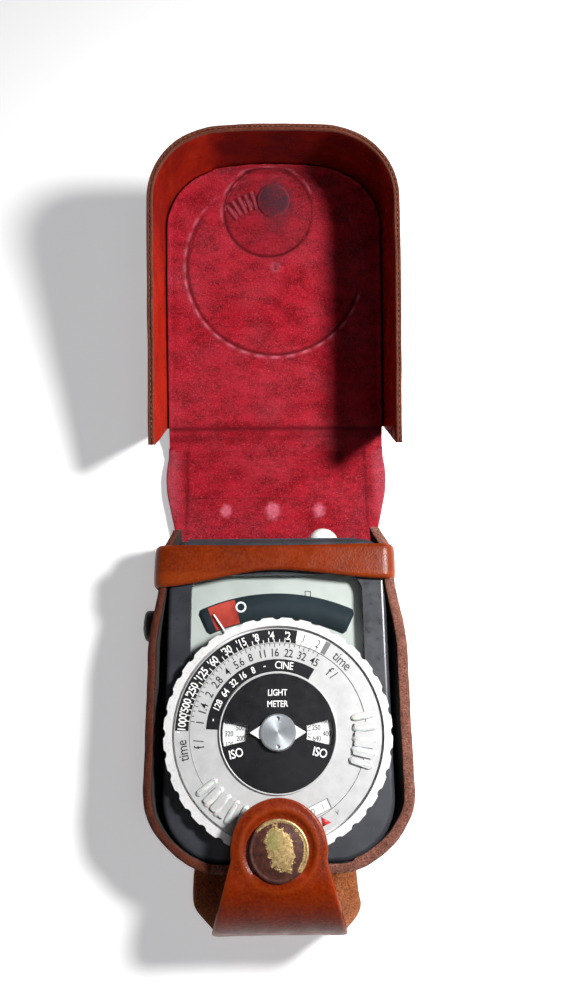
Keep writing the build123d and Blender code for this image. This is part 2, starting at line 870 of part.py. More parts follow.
with BuildPart() as wiper:
    with BuildSketch(Plane.XY.offset(wiper_low)):
        Circle(3.3)
        with Locations((0, 5.5)):
            Rectangle(1.6, 7.0)
        Circle(spindle_radius, mode=Mode.SUBTRACT)
    extrude(amount=0.5)
    with BuildSketch(Plane.XY.offset(wiper_low + 0.5)):
        with Locations((0, 8.3)):
            Circle(0.6)
    extrude(amount=track_low - wiper_low - 0.5 - clearance)
save(wiper, "wiper")
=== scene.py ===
"""Hand-held exposure meter lying in its open leather case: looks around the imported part."""

import math

import bmesh
import bpy
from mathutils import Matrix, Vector, noise


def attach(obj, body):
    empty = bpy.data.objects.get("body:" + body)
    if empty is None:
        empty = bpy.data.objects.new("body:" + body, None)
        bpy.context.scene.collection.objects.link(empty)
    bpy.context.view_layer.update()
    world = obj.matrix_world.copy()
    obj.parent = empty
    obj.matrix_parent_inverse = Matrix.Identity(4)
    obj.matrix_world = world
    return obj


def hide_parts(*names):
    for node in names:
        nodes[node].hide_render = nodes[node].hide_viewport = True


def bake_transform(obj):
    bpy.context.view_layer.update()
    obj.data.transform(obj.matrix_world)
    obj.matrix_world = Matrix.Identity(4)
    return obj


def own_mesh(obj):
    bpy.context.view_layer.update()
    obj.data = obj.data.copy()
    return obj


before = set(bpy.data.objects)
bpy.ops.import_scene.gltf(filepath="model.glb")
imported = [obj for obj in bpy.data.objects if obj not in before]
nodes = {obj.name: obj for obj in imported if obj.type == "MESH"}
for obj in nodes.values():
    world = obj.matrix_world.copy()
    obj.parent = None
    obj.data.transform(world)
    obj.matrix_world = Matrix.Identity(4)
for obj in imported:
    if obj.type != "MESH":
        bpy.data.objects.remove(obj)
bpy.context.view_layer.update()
MM = 0.001  # every length below is in millimetres, and becomes metres when a mesh is made

# ---- sizes shared with the CAD, in millimetres ----
FOLD_RISE = 1.3  # both folds turn about a line this far above the middle of the leather
FOLD_Y = 47.4
FOLD_Z = 0.8
LID_ANGLE = math.radians(17.5)
LID_FOLD_Y = 70.1
LID_Y = LID_FOLD_Y + FOLD_RISE * math.sin(LID_ANGLE)
LID_Z = FOLD_Z + FOLD_RISE * (1 - math.cos(LID_ANGLE))
LID_HALF = 28.6
LID_LENGTH = 76.1
LID_CORNER = 15.5
LID_RIM = 24.0
PLY = 0.75
STUD_S = 67.5
DIAL_S = 50.0  # where the dial has pressed its mark in the lid's velvet
TRAY_HALF = 26.85
TRAY_BOTTOM = -28.25
TRAY_RIM = 21.0
TRAY_CORNER = 14.85
DIAL_Z = 22.8


# ============================ small helpers ============================


def smooth(value, low, high):
    """0 below low, 1 above high, and an even curve between them."""
    t = min(1.0, max(0.0, (value - low) / (high - low)))
    return t * t * (3 - 2 * t)


def wave(x, y, z, scale):
    """Smooth noise from about -1 to 1 at a point in millimetres, with features of that size."""
    return noise.noise(Vector((x / scale, y / scale, z / scale)))


def peak(value, centre, width):
    """1 at the centre, falling away evenly on both sides."""
    return math.exp(-(((value - centre) / width) ** 2))


def direction(degrees):
    a = math.radians(degrees)
    return math.cos(a), math.sin(a)


def lid(x, s, h):
    """A point given across, along and above the lid's own plane."""
    c, n = math.cos(LID_ANGLE), math.sin(LID_ANGLE)
    s -= min(0.7, 0.5 * (x / 15) ** 2) * smooth(s, 50, 74)
    x *= 1 - 0.012 * smooth(s, 34, 76)
    return (x, LID_Y + s * c - h * n, LID_Z + s * n + h * c)


def u_path(half, open_end, closed_end, corner, step):
    """Points and outward normals round three sides of a bay with two rounded corners."""
    side = 1 if closed_end > open_end else -1
    turn = closed_end - side * corner
    count = max(2, round(abs(turn - open_end) / step))
    points = [(-half, open_end + (turn - open_end) * k / count, -1.0, 0.0) for k in range(count)]
    arc = max(6, round(corner * math.pi / 2 / step))
    for k in range(arc):
        c, n = direction(90 * k / arc)
        points.append((-half + corner - corner * c, turn + side * corner * n, -c, side * n))
    flat = 2 * (half - corner)
    count = max(2, round(flat / step))
    for k in range(count + 1):
        points.append((-half + corner + flat * k / count, closed_end, 0.0, float(side)))
    mirrored = [(-x, y, -nx, ny) for x, y, nx, ny in points]
    return points + [p for p in reversed(mirrored) if abs(p[0]) > half - corner + 1e-6]


def make(name, verts, faces, materials, indices=None):
    """A smooth-shaded mesh object from points in millimetres."""
    mesh = bpy.data.meshes.new(name)
    mesh.from_pydata([(x * MM, y * MM, z * MM) for x, y, z in verts], [], faces)
    for m in materials:
        mesh.materials.append(m)
    if indices:
        for face, index in zip(mesh.polygons, indices):
            face.material_index = index
    mesh.polygons.foreach_set("use_smooth", [True] * len(mesh.polygons))
    obj = bpy.data.objects.new(name, mesh)
    bpy.context.scene.collection.objects.link(obj)
    cleaner = bmesh.new()
    cleaner.from_mesh(mesh)
    bmesh.ops.remove_doubles(cleaner, verts=cleaner.verts, dist=1e-7)
    bmesh.ops.recalc_face_normals(cleaner, faces=cleaner.faces)
    cleaner.to_mesh(mesh)
    cleaner.free()
    return obj


def sweep(name, loops, materials, which=None):
    """A closed solid through loops of equal length. which(i, j) picks a face's material."""
    size = len(loops[0])
    faces, indices = [], []
    for i in range(len(loops) - 1):
        for j in range(size):
            k = (j + 1) % size
            faces.append((i * size + j, i * size + k, (i + 1) * size + k, (i + 1) * size + j))
            indices.append(which(i, j) if which else 0)
    for i in (0, len(loops) - 1):
        faces.append(tuple(range(i * size, (i + 1) * size)))
        indices.append(which(i, -1) if which else 0)
    obj = make(name, [p for loop in loops for p in loop], faces, materials, indices)
    for face in obj.data.polygons:
        if len(face.vertices) > 4:
            face.use_smooth = False
    return obj


def revolve(name, profile, centre, materials, steps=96):
    """A solid of revolution about +Z. The profile is (radius, height) from the axis and back to it."""
    cx, cy, cz = centre
    size = len(profile)
    verts, faces = [], []
    for k in range(steps):
        c, n = direction(360 * k / steps)
        verts += [(cx + r * c, cy + r * n, cz + z) for r, z in profile]
        a, b = k * size, (k + 1) % steps * size
        faces += [(a + j, b + j, b + j + 1, a + j + 1) for j in range(size - 1)]
    return make(name, verts, faces, materials)


def bevel(obj, width, segments=2, angle=40):
    """Round off an object's sharp edges."""
    m = obj.modifiers.new("edge", "BEVEL")
    m.width = width * MM
    m.segments = segments
    m.limit_method = "ANGLE"
    m.angle_limit = math.radians(angle)
    m.harden_normals = True


def paint(obj, **layers):
    """Store each layer's value(x, y, z), in millimetres, at every vertex, for a material to read."""
    points = [v.co / MM for v in obj.data.vertices]
    for name, value in layers.items():
        layer = obj.data.attributes.new(name, "FLOAT", "POINT")
        layer.data.foreach_set("value", [value(*p) for p in points])


def place(obj, body, slot, *replaces):
    """Ride obj on a body, hiding the nodes it stands for. slot is not used."""
    if replaces:
        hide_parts(*replaces)
    if body:
        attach(obj, body)


# ============================ materials ============================


class Shader:
    """One principled material and the few node patterns that this scene uses."""

    def __init__(self, name, **constants):
        self.material = bpy.data.materials.new(name)
        self.material.use_nodes = True
        self.tree = self.material.node_tree
        self.out = self.tree.nodes["Principled BSDF"]
        for key, value in constants.items():
            self.out.inputs[key.replace("_", " ")].default_value = value
        self.coords = self.node("TexCoord", "Object", {})
        self.height = None

    def node(self, kind, output, inputs, **settings):
        """A new node's output. An input is a constant or another node's output."""
        made = self.tree.nodes.new("ShaderNode" + kind)
        for key, value in settings.items():
            setattr(made, key, value)
        for key, value in inputs.items():
            self.put(made.inputs[key], value)
        return made.outputs[output]

    def put(self, socket, source):
        if isinstance(source, bpy.types.NodeSocket):
            self.tree.links.new(source, socket)
        else:
            socket.default_value = source

    def noise(self, size, detail=3.0, rough=0.55, stretch=None):
        """Noise with features about size millimetres across."""
        inputs = {"Scale": 1.0 / (size * MM), "Detail": detail, "Roughness": rough, "Vector": self.coords}
        if stretch:
            inputs["Vector"] = self.node("Mapping", "Vector", {"Scale": stretch, "Vector": self.coords})
        return self.node("TexNoise", "Fac", inputs)

    def cells(self, size):
        return self.node("TexVoronoi", "Distance", {"Scale": 1.0 / (size * MM), "Vector": self.coords})

    def attribute(self, name):
        return self.node("Attribute", "Fac", {}, attribute_name=name)

    def ramp(self, source, low, high, start=0.0, end=1.0):
        """source from low to high becomes start to end, and is held beyond them."""
        inputs = {"Value": source, "From Min": low, "From Max": high, "To Min": start, "To Max": end}
        return self.node("MapRange", "Result", inputs)

    def times(self, a, b):
        return self.node("Math", 0, {0: a, 1: b}, operation="MULTIPLY")

    def mix(self, share, a, b):
        """Colour a, turning to b with share."""
        a, b = (end if isinstance(end, bpy.types.NodeSocket) else (*end, 1) for end in (a, b))
        return self.node("Mix", 2, {"Factor": share, 6: a, 7: b}, data_type="RGBA")

    def mottle(self, size, a, b, detail=3.0, rough=0.55, low=0.35, high=0.65):
        """Two colours in patches about size millimetres across."""
        return self.mix(self.ramp(self.noise(size, detail, rough), low, high), a, b)

    def colour(self, source):
        self.put(self.out.inputs["Base Color"], source)

    def rough(self, source):
        self.put(self.out.inputs["Roughness"], source)

    def bump(self, source, depth, strength=1.0):
        """Raise the surface by source times depth millimetres. Calls add up."""
        inputs = {"Strength": strength, "Distance": depth * MM, "Height": source}
        if self.height is not None:
            inputs["Normal"] = self.height
        self.height = self.node("Bump", "Normal", inputs)
        self.put(self.out.inputs["Normal"], self.height)


def leather(name, dark, mid, light, gloss=0.34, grain=0.05):
    s = Shader(name, Coat_Weight=0.03, Coat_Roughness=0.25, Specular_IOR_Level=0.18)
    blotch = s.ramp(s.noise(9.0, 4.0, 0.6), 0.35, 0.68)
    fine = s.ramp(s.noise(0.7, 3.0, 0.6), 0.35, 0.7)
    colour = s.mix(s.times(fine, 0.35), s.mix(blotch, dark, mid), light)
    streak = s.ramp(s.noise(2.4, 4.0, 0.65, (1.0, 0.25, 1.0)), 0.6, 0.74)
    colour = s.mix(s.times(streak, 0.35), colour, dark)
    colour = s.mix(s.ramp(s.attribute("worn"), 0.0, 1.0), colour, light)
    # painted shade: a stored share pulls the colour towards near-black red (only the lid's liner stores any)
    soil = s.times(s.attribute("soil"), s.ramp(blotch, 0, 1, 1.0, 0.8))
    s.colour(s.mix(soil, colour, (0.016, 0.0012, 0.0008)))
    s.rough(s.ramp(s.noise(3.0, 4.0), 0.3, 0.7, gloss - 0.07, gloss + 0.12))
    s.bump(s.cells(0.42), grain, 0.7)
    s.bump(s.noise(0.16), 0.02, 0.6)
    s.bump(s.noise(5.0), 0.18, 0.5)
    return s.material


def fibre(name, dark, light, size=0.3):
    """A cut or flesh side of leather: loose brown fibre."""
    s = Shader(name, Specular_IOR_Level=0.12, Sheen_Weight=0.08, Sheen_Roughness=0.5)
    a = s.ramp(s.noise(size, 5.0, 0.75), 0.34, 0.68)
    b = s.ramp(s.noise(2.6, 3.0, 0.6), 0.35, 0.65)
    s.colour(s.mix(s.times(b, 0.4), s.mix(a, dark, light), dark))
    s.rough(s.ramp(a, 0, 1, 0.8, 0.95))
    s.bump(a, 0.22, 0.9)
    s.bump(s.cells(0.5), 0.12, 0.5)
    return s.material


def velvet(name, dark, mid, bright, pale):
    constants = {"Specular_IOR_Level": 0.12, "Sheen_Weight": 0.10, "Sheen_Roughness": 0.45}
    s = Shader(name, Sheen_Tint=(1.0, 0.45, 0.5, 1.0), **constants)
    nap = s.ramp(s.noise(0.60, 6.0, 0.9), 0.38, 0.60)
    patch = s.ramp(s.noise(5.5, 5.0, 0.7, (1.0, 1.7, 1.0)), 0.40, 0.60)
    colour = s.mix(s.times(patch, 0.60), s.mix(nap, dark, mid), bright)
    bloom = s.times(s.ramp(s.noise(14.0, 2.0), 0.42, 0.66), s.ramp(nap, 0, 1, 0.3, 1.0))
    colour = s.mix(s.times(bloom, 0.08), colour, pale)
    speck = s.ramp(s.noise(0.30, 2.0, 0.6), 0.56, 0.70)
    colour = s.mix(s.times(speck, 0.20), colour, pale)
    colour = s.mix(s.times(s.attribute("worn"), s.ramp(nap, 0, 1, 0.45, 1.0)), colour, pale)
    # crushed nap and painted shade in dips and creases: a stored share turns the colour to the darkest nap
    colour = s.mix(s.attribute("press"), colour, dark)
    stain = s.times(s.attribute("stain"), s.ramp(patch, 0, 1, 0.6, 1.0))
    s.colour(s.mix(stain, colour, (0.035, 0.02, 0.032)))
    s.rough(0.92)
    s.bump(nap, 0.20, 0.9)
    s.bump(s.noise(1.2), 0.1, 0.5)
    return s.material


def moulded(name, dark, light, gloss, bump=0.006, shine=0.5):
    """Moulded plastic or enamel: even colour with a slight mottle and fine texture."""
    s = Shader(name, Specular_IOR_Level=shine)
    dust = s.ramp(s.noise(0.25, 2.0), 0.68, 0.76)
    s.colour(s.mix(s.times(dust, 0.15), s.mottle(7.0, dark, light), (0.5, 0.5, 0.5)))
    s.rough(s.ramp(s.noise(1.6, 4.0), 0.3, 0.7, gloss - 0.05, gloss + 0.08))
    s.bump(s.noise(0.12, 2.0), bump, 0.6)
    return s.material


def metal(name, dark, light, gloss, metallic=1.0):
    s = Shader(name, Metallic=metallic)
    s.colour(s.mottle(2.5, dark, light, 4.0, 0.6))
    s.rough(s.ramp(s.noise(0.5, 3.0, 0.6), 0.3, 0.7, gloss - 0.06, gloss + 0.1))
    s.bump(s.noise(0.4, 3.0, 0.6), 0.003, 0.4)
    return s.material


def patinated_brass():
    s = Shader("brass_patinated", Specular_IOR_Level=0.5)
    torn = s.ramp(s.noise(1.3, 5.0, 0.75), 0, 1, -0.75, 0.75)
    ragged = s.node("Math", 0, {0: s.attribute("worn"), 1: torn}, operation="ADD")
    share = s.ramp(ragged, 0.36, 0.48)
    crust = s.mottle(1.0, (0.035, 0.010, 0.007), (0.10, 0.030, 0.020), 4.0, 0.7)
    gold = s.mottle(0.7, (0.34, 0.21, 0.075), (0.74, 0.54, 0.26), 4.0, 0.7, 0.36, 0.64)
    gold = s.mix(s.ramp(s.attribute("green"), 0.0, 1.0, 0.0, 0.55), gold, (0.34, 0.38, 0.12))
    s.colour(s.mix(share, crust, gold))
    s.put(s.out.inputs["Metallic"], s.ramp(share, 0, 1, 0.25, 0.75))
    s.rough(s.ramp(share, 0, 1, 0.42, 0.40))
    s.bump(share, 0.05, 0.7)
    s.bump(s.noise(0.35, 4.0), 0.05, 0.6)
    return s.material


def spun_metal():
    """A turned face whose fine circular scratches stretch the highlight into two fans."""
    s = Shader("spun_metal", Metallic=0.75, Anisotropic=0.6)
    flat = s.node("Mapping", "Vector", {"Scale": (1.0, 1.0, 0.0), "Vector": s.coords})
    radius = s.node("VectorMath", "Value", {0: flat}, operation="LENGTH")
    lines = s.node("TexNoise", "Fac", {"Scale": 9000.0, "W": radius}, noise_dimensions="1D")
    s.colour(s.mix(s.ramp(lines, 0.3, 0.7), (0.34, 0.37, 0.40), (0.50, 0.54, 0.58)))
    s.rough(0.42)
    s.put(s.out.inputs["Tangent"], s.node("Tangent", "Tangent", {}, direction_type="RADIAL", axis="Z"))
    s.bump(lines, 0.004, 0.6)
    return s.material


def clear(name, tint, alpha, gloss):
    s = Shader(name, Alpha=alpha, IOR=1.48)
    smear = s.ramp(s.noise(6.0, 4.0), 0.4, 0.65)
    s.colour(s.mix(smear, tint, (0.22, 0.24, 0.24)))
    s.rough(s.ramp(smear, 0, 1, gloss, gloss + 0.1))
    return s.material


def stud_metal():
    """Worn brass outside the lid, and the dark crust of its inner end."""
    s = Shader("stud_brass", Metallic=0.6)
    c, n = math.cos(LID_ANGLE), math.sin(LID_ANGLE)
    height = s.node("VectorMath", "Value", {0: s.coords, 1: (0.0, -n, c)}, operation="DOT_PRODUCT")
    level = (LID_Z * c - LID_Y * n) * MM
    inside = s.ramp(height, level - 0.0002, level + 0.0002)
    crust = s.mottle(0.35, (0.012, 0.006, 0.011), (0.055, 0.022, 0.036), 4.0)
    wear = s.ramp(s.noise(1.2, 5.0, 0.7), 0.40, 0.62)
    s.colour(s.mix(inside, s.mix(wear, (0.52, 0.34, 0.15), (0.16, 0.075, 0.035)), crust))
    s.rough(s.ramp(inside, 0, 1, 0.38, 0.9))
    s.bump(wear, 0.02, 0.6)
    return s.material


def opal():
    s = Shader("opal_dome", Subsurface_Weight=0.6, Subsurface_Scale=0.002, Coat_Weight=0.3)
    s.colour(s.mottle(2.0, (0.86, 0.85, 0.79), (0.93, 0.92, 0.88), low=0.4, high=0.7))
    s.rough(0.32)
    return s.material


def soft_black():
    s = Shader("soft_black", Sheen_Weight=0.15, Specular_IOR_Level=0.35)
    weave = s.cells(0.35)
    s.colour(s.mix(s.ramp(weave, 0, 0.6), (0.003, 0.003, 0.004), (0.014, 0.013, 0.014)))
    s.rough(0.62)
    s.bump(weave, 0.08, 0.6)
    return s.material


LEATHER = leather("leather_brown", (0.095, 0.007, 0.0006), (0.180, 0.013, 0.0008), (0.31, 0.044, 0.004))
LEATHER_STRAP = leather("leather_strap", (0.095, 0.008, 0.0006), (0.160, 0.015, 0.001), (0.28, 0.045, 0.005))
LEATHER_LINER = leather(
    "leather_liner", (0.24, 0.006, 0.002), (0.42, 0.014, 0.004), (0.56, 0.050, 0.010), 0.3, 0.02
)
RAW = fibre("leather_raw_edge", (0.055, 0.010, 0.004), (0.27, 0.065, 0.032))
# a lit copy of the raw edge: painted light on the tray rim's right side, whose left side takes the plain raw
# edge as painted shade
RAW_LIT = fibre("leather_raw_lit", (0.050, 0.012, 0.007), (0.50, 0.21, 0.15), 0.36)
# the tray wall's inner flesh side, painted near black as shade rather than its own light suede colour
FLESH_SHADED = fibre("leather_flesh_shaded", (0.004, 0.0015, 0.001), (0.020, 0.007, 0.004))
SUEDE = fibre("leather_suede", (0.14, 0.026, 0.006), (0.60, 0.21, 0.075), 0.45)
VELVET = velvet(
    "velvet_red", (0.105, 0.001, 0.005), (0.36, 0.003, 0.012), (0.56, 0.010, 0.030), (0.80, 0.19, 0.27)
)
SHELL = moulded("shell_slate", (0.022, 0.024, 0.030), (0.036, 0.039, 0.048), 0.30, 0.003)
BLACK = moulded("black_moulded", (0.004, 0.004, 0.005), (0.012, 0.012, 0.014), 0.3)
DISC_BLACK = moulded("disc_black", (0.006, 0.006, 0.008), (0.010, 0.010, 0.012), 0.34, 0.003, 0.3)
CARD = moulded("scale_card", (0.36, 0.41, 0.39), (0.42, 0.47, 0.45), 0.6)
BAND = moulded("scale_band", (0.009, 0.017, 0.023), (0.014, 0.025, 0.033), 0.5, 0.0, 0.08)
RED_ZONE = moulded("scale_red", (0.20, 0.010, 0.007), (0.46, 0.06, 0.04), 0.5, 0.0, 0.1)
INK = moulded("ink_black", (0.009, 0.009, 0.011), (0.015, 0.015, 0.017), 0.5, 0.0, 0.15)
INK_GREY = moulded("ink_grey", (0.09, 0.09, 0.095), (0.13, 0.13, 0.135), 0.5)
INK_WHITE = moulded("ink_white", (0.80, 0.80, 0.80), (0.90, 0.90, 0.90), 0.5)
INK_RED = moulded("ink_red", (0.50, 0.02, 0.03), (0.58, 0.04, 0.05), 0.5)
PALE_DISC = moulded("pale_disc", (0.62, 0.64, 0.65), (0.72, 0.73, 0.74), 0.4)
BOARD = moulded("board_laminate", (0.16, 0.085, 0.03), (0.24, 0.14, 0.055), 0.5)
SILVER = metal("dial_silver", (0.46, 0.465, 0.475), (0.53, 0.535, 0.545), 0.36, 0.12)
RING_METAL = metal("ring_silver", (0.72, 0.715, 0.725), (0.80, 0.795, 0.805), 0.30, 0.2)
STEEL = metal("steel_turned", (0.42, 0.42, 0.43), (0.6, 0.6, 0.61), 0.35)
DARK_METAL = metal("dark_metal", (0.06, 0.06, 0.07), (0.12, 0.12, 0.14), 0.45)
BRASS_PLAIN = metal("brass_plain", (0.42, 0.26, 0.11), (0.62, 0.43, 0.2), 0.38)
BRASS = patinated_brass()
SPUN = spun_metal()
CLEAR = clear("window_clear", (0.10, 0.12, 0.12), 0.022, 0.04)
OPAL = opal()
STUD = stud_metal()
SOFT_BLACK = soft_black()


# ============================ camera, floor and light ============================


def link(name, data, location, rotation):
    obj = bpy.data.objects.new(name, data)
    obj.location = location
    obj.rotation_euler = rotation
    bpy.context.scene.collection.objects.link(obj)
    return obj


def camera():
    data = bpy.data.cameras.new("camera")
    data.sensor_width = 36.0
    data.lens = 28.8
    data.clip_start = 0.005
    turn = (math.radians(16.2), 0.0, math.radians(-0.6))
    bpy.context.scene.camera = link("camera", data, (0.00075, 0.0, 0.2025), turn)


def floor_and_light():
    side, level = 2500.0, -0.05
    corners = [(-side, -side, level), (side, -side, level), (side, side, level), (-side, side, level)]
    s = Shader("floor_pale", Roughness=0.75, Specular_IOR_Level=0.2, Emission_Strength=0.40)
    s.out.inputs["Emission Color"].default_value = (0.97, 0.98, 1.0, 1)
    s.colour(s.mix(s.noise(60.0), (0.86, 0.86, 0.87), (0.9, 0.9, 0.905)))
    make("floor", corners, [(0, 1, 2, 3)], [s.material])

    world = bpy.data.worlds.new("world")
    world.use_nodes = True
    # a pale studio round the horizon and hardly any light from above, so that shadows stay deep
    tree = world.node_tree
    background = tree.nodes["Background"]
    background.inputs["Color"].default_value = (0.95, 0.97, 1.0, 1)
    around = tree.nodes.new("ShaderNodeTexCoord")
    parts = tree.nodes.new("ShaderNodeSeparateXYZ")
    fade = tree.nodes.new("ShaderNodeMapRange")
    tree.links.new(around.outputs["Generated"], parts.inputs["Vector"])
    tree.links.new(parts.outputs["Z"], fade.inputs["Value"])
    for key, value in (("From Min", 0.10), ("From Max", 0.42), ("To Min", 0.72), ("To Max", 0.015)):
        fade.inputs[key].default_value = value
    tree.links.new(fade.outputs["Result"], background.inputs["Strength"])
    bpy.context.scene.world = world
    bpy.context.scene.view_settings.view_transform = "Standard"

    for name, at, target, size, power, tint in (
        ("key", (0.142, 0.068, 0.200), (0.0, 0.03, 0.0), 0.045, 1.15, (1.0, 0.985, 0.96)),
        ("sheen", (0.075, -0.055, 0.385), (0.015, -0.02, 0.02), 0.12, 0.085, (0.97, 0.98, 1.0)),
        ("fill", (-0.30, -0.10, 0.55), (0.0, 0.03, 0.0), 0.40, 0.03, (0.93, 0.96, 1.0)),
    ):
        data = bpy.data.lights.new(name, "AREA")
        data.shape = "DISK"
        data.size, data.energy, data.color = size, power, tint
        link(name, data, at, (Vector(target) - Vector(at)).to_track_quat("-Z", "Y").to_euler())


camera()
floor_and_light()


# ============================ leather case: tray ============================

TRAY_WALL = 1.7
END_TAPER = 2.8  # the walls lean in round the meter's top corners


def tray_wall():
    """The tray's standing wall: three sides that spread towards a raw cut rim."""
    path = u_path(TRAY_HALF, 46.8, TRAY_BOTTOM, TRAY_CORNER, 0.8)
    heights = [0.0, 0.35, 0.9, 1.6, 3.0, 6.0, 9.0, 12.0, 15.0, 17.5, 19.5]
    count = len(heights) + 1
    sides = len(path)
    loops = []
    for x, y, nx, ny in path:
        side = smooth(y, 36, 18) * smooth(y, -27, -12) if abs(nx) > 0.5 else 0.0
        spread = 2.25 * side + 0.05
        taper = END_TAPER * smooth(y, 39.5, 46.8)
        rim = TRAY_RIM + 0.25 * wave(x, y, 3, 4.0) + 0.12 * wave(x, y, 9, 1.1)
        if y > 43.0:
            rim -= 3.8 - math.sqrt(max(0.0, 3.8**2 - (y - 43.0) ** 2))
        outer, inner = [], []
        for h in heights + [rim]:
            level = min(h, rim)
            lean = spread * (level / TRAY_RIM) ** 1.5
            if h == rim:
                level -= 1.1 * smooth(-nx, 0.2, 0.9)
            base = 1.2 - math.sqrt(max(0.0, 1.2**2 - (1.2 - min(level, 1.2)) ** 2))
            off = lean - base - taper * (0.4 + 0.6 * level / TRAY_RIM) + 0.07 * wave(x, y, level, 2.0)
            thick = TRAY_WALL - 0.1 + (0.7 if nx > 0.3 else 0.25) * smooth(level, 5, 20)
            reach = off - thick if level > 1.2 else off - 0.9
            outer.append((x + nx * off, y + ny * off, level))
            inner.append((x + nx * reach, y + ny * reach, min(rim, h)))
        # the rim is a cut edge, a little crowned and ragged
        crown = []
        for t in (0.12, 0.3, 0.5, 0.7, 0.88):
            p = Vector(outer[-1]).lerp(Vector(inner[-1]), t)
            p.z += 0.30 * math.sin(math.pi * t) + 0.34 * wave(p.x, p.y, 20 * t, 0.9)
            crown.append(tuple(p))
        loops.append(outer + crown + inner[::-1])

    def which(i, j):
        # the rim's cut faces: a painted lit copy of the raw edge on the right, and the darker raw edge on
        # the left as painted shade
        if j < 0 or count - 1 <= j < count + 5:
            return 3 if i < sides * 0.42 else 1
        # inner faces: a flesh side painted near black as shade
        return 0 if j < count - 1 else 2

    obj = sweep("tray_wall_leather", loops, [LEATHER, RAW_LIT, FLESH_SHADED, RAW], which)
    paint(obj, worn=lambda x, y, z: 0.55 * smooth(z, 18.5, 21) + 0.25 * smooth(z, 2.0, 0.2))
    place(obj, "case", "leather_outer", "tray_wall")
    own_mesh(obj)


def tray_sheet(name, material, half, open_end, closed_end, corner, layers):
    """A flat sheet with the tray's outline, drawn in by inset at each level."""
    loops = []
    for inset, level in layers:
        path = u_path(half - inset, open_end, closed_end + inset, max(0.5, corner - inset), 1.6)
        loops.append([(x, y, level) for x, y, _, _ in path])
    return sweep(name, loops, [material])


def tray_floor():
    layers = ((0.5, 0.0), (0.0, 0.25), (0.0, 1.2), (0.3, 1.6))
    edges = (TRAY_HALF - 0.9, 47.2, TRAY_BOTTOM + 0.9, TRAY_CORNER - 0.9)
    obj = tray_sheet("tray_back_leather", LEATHER, *edges, layers)
    paint(obj, worn=lambda x, y, z: 0.35 * smooth(z, 0.4, 0.0))
    place(obj, "case", "leather_outer", "tray_back")
    layers = ((0.2, 1.6), (0.0, 1.7), (0.0, 1.9), (0.25, 2.0))
    obj = tray_sheet("tray_velvet", VELVET, 25.0, 46.6, -26.3, 13.0, layers)
    paint(obj, press=lambda x, y, z: 0.35)
    place(obj, "case", "velvet", "tray_lining")


def band_sides(across):
    """Picks the grain side, the cut edge or the flesh side of a band that many points wide."""

    def which(i, j):
        if j < 0 or j in (across - 1, 2 * across - 1):
            return 1
        return 0 if j < across - 1 else 2

    return which


def strap():
    """The band across the meter, bowed along its lower edge, with a leg down each side."""
    left, right, shoulder, top = -28.3, 27.5, 3.2, 22.35
    level = top - shoulder
    flat = right - left - 2 * shoulder
    bends = [direction(90 * k / 7) for k in range(8)]
    route = []  # x, z, and the outward direction in that plane
    for k in range(8):
        z = 5.8 + (level - 5.8) * k / 8
        route.append((left + 0.65 * smooth(z, 20, 8), z, -1.0, 0.05))
    route += [(left + shoulder - shoulder * c, level + shoulder * n, -c, n) for c, n in bends]
    for k in range(1, 28):
        rise = 0.22 * math.sin(math.pi * k / 28)
        route.append((left + shoulder + flat * k / 28, top + rise, 0.0, 1.0))
    route += [(right - shoulder + shoulder * c, level + shoulder * n, c, n) for c, n in bends[::-1]]
    for k in range(1, 9):
        z = level - (level - 5.4) * k / 8
        route.append((right + 0.25 * smooth(z, 20, 8), z, 1.0, 0.05))
    loops = []
    across, thick = 17, 1.15
    for x, z, nx, nz in route:
        middle = smooth(abs(x + 0.4), 27.0, 0.0)
        leg = smooth(z, 18.5, 7.0)
        low = 32.6 + 3.2 * middle + (1.0 if x > 0 else -0.5) * (1 - middle)
        high = 41.9 - 0.35 * middle
        centre = 34.4 if x > 0 else 37.2
        half = 4.4 - 0.5 * leg
        low += (centre - half - low) * leg
        high += (centre + half - high) * leg
        near = max(0.0, 1 - (z - 5.4) / 4.0)
        round_end = math.sqrt(max(0.02, 1 - near**2))
        upper, lower = [], []
        for j in range(across):
            u = -1 + 2 * j / (across - 1)
            fall = 0.55 * (1 - (1 - abs(u) ** 10) ** 0.5)
            y = (low + high) / 2 + (high - low) / 2 * round_end * u
            out = 0.10 * (1 - u * u) - fall + 0.07 * wave(x, y, z, 5.0)
            back = thick - 0.5 * fall
            upper.append((x + nx * out, y, z + nz * out))
            lower.append((x - nx * back, y, z - nz * back))
        loops.append(upper + lower[::-1])

    def wear(x, y, z):
        edge = smooth(abs(x), 24.5, 27.8) * smooth(z, 10, 20)
        ends = 0.35 * smooth(y, 41.2, 41.9) + 0.3 * smooth(y, 35.8, 34.9)
        return min(1.0, 0.35 * edge + ends)

    obj = sweep("strap_leather", loops, [LEATHER_STRAP, RAW, SUEDE], band_sides(across))
    paint(obj, worn=wear)
    place(obj, "case", "leather_outer", "retaining_strap")
    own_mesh(obj)


def lanyard_tab():
    """A small soft black loop, puffed, against the tray's left wall."""
    loops = []
    for k in range(27):
        along, rise = direction(180 * k / 26)
        y = 24.6 - 3.6 * along
        swell = max(0.0, rise) ** 0.45 + 0.03
        loop = []
        for j in range(28):
            c, n = direction(360 * j / 28)
            dx = 1.75 * swell * math.copysign(abs(c) ** 0.7, c)
            dz = 4.4 * swell * math.copysign(abs(n) ** 0.7, n)
            crease = 0.15 * wave(dx * 2, y * 1.5, dz, 1.6)
            loop.append((-29.9 + dx + crease * c, y, 10.2 + dz))
        loops.append(loop)
    obj = sweep("lanyard_tab_soft", loops, [SOFT_BLACK])
    place(obj, "case", "leather_outer", "lanyard_tab")
    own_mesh(obj)


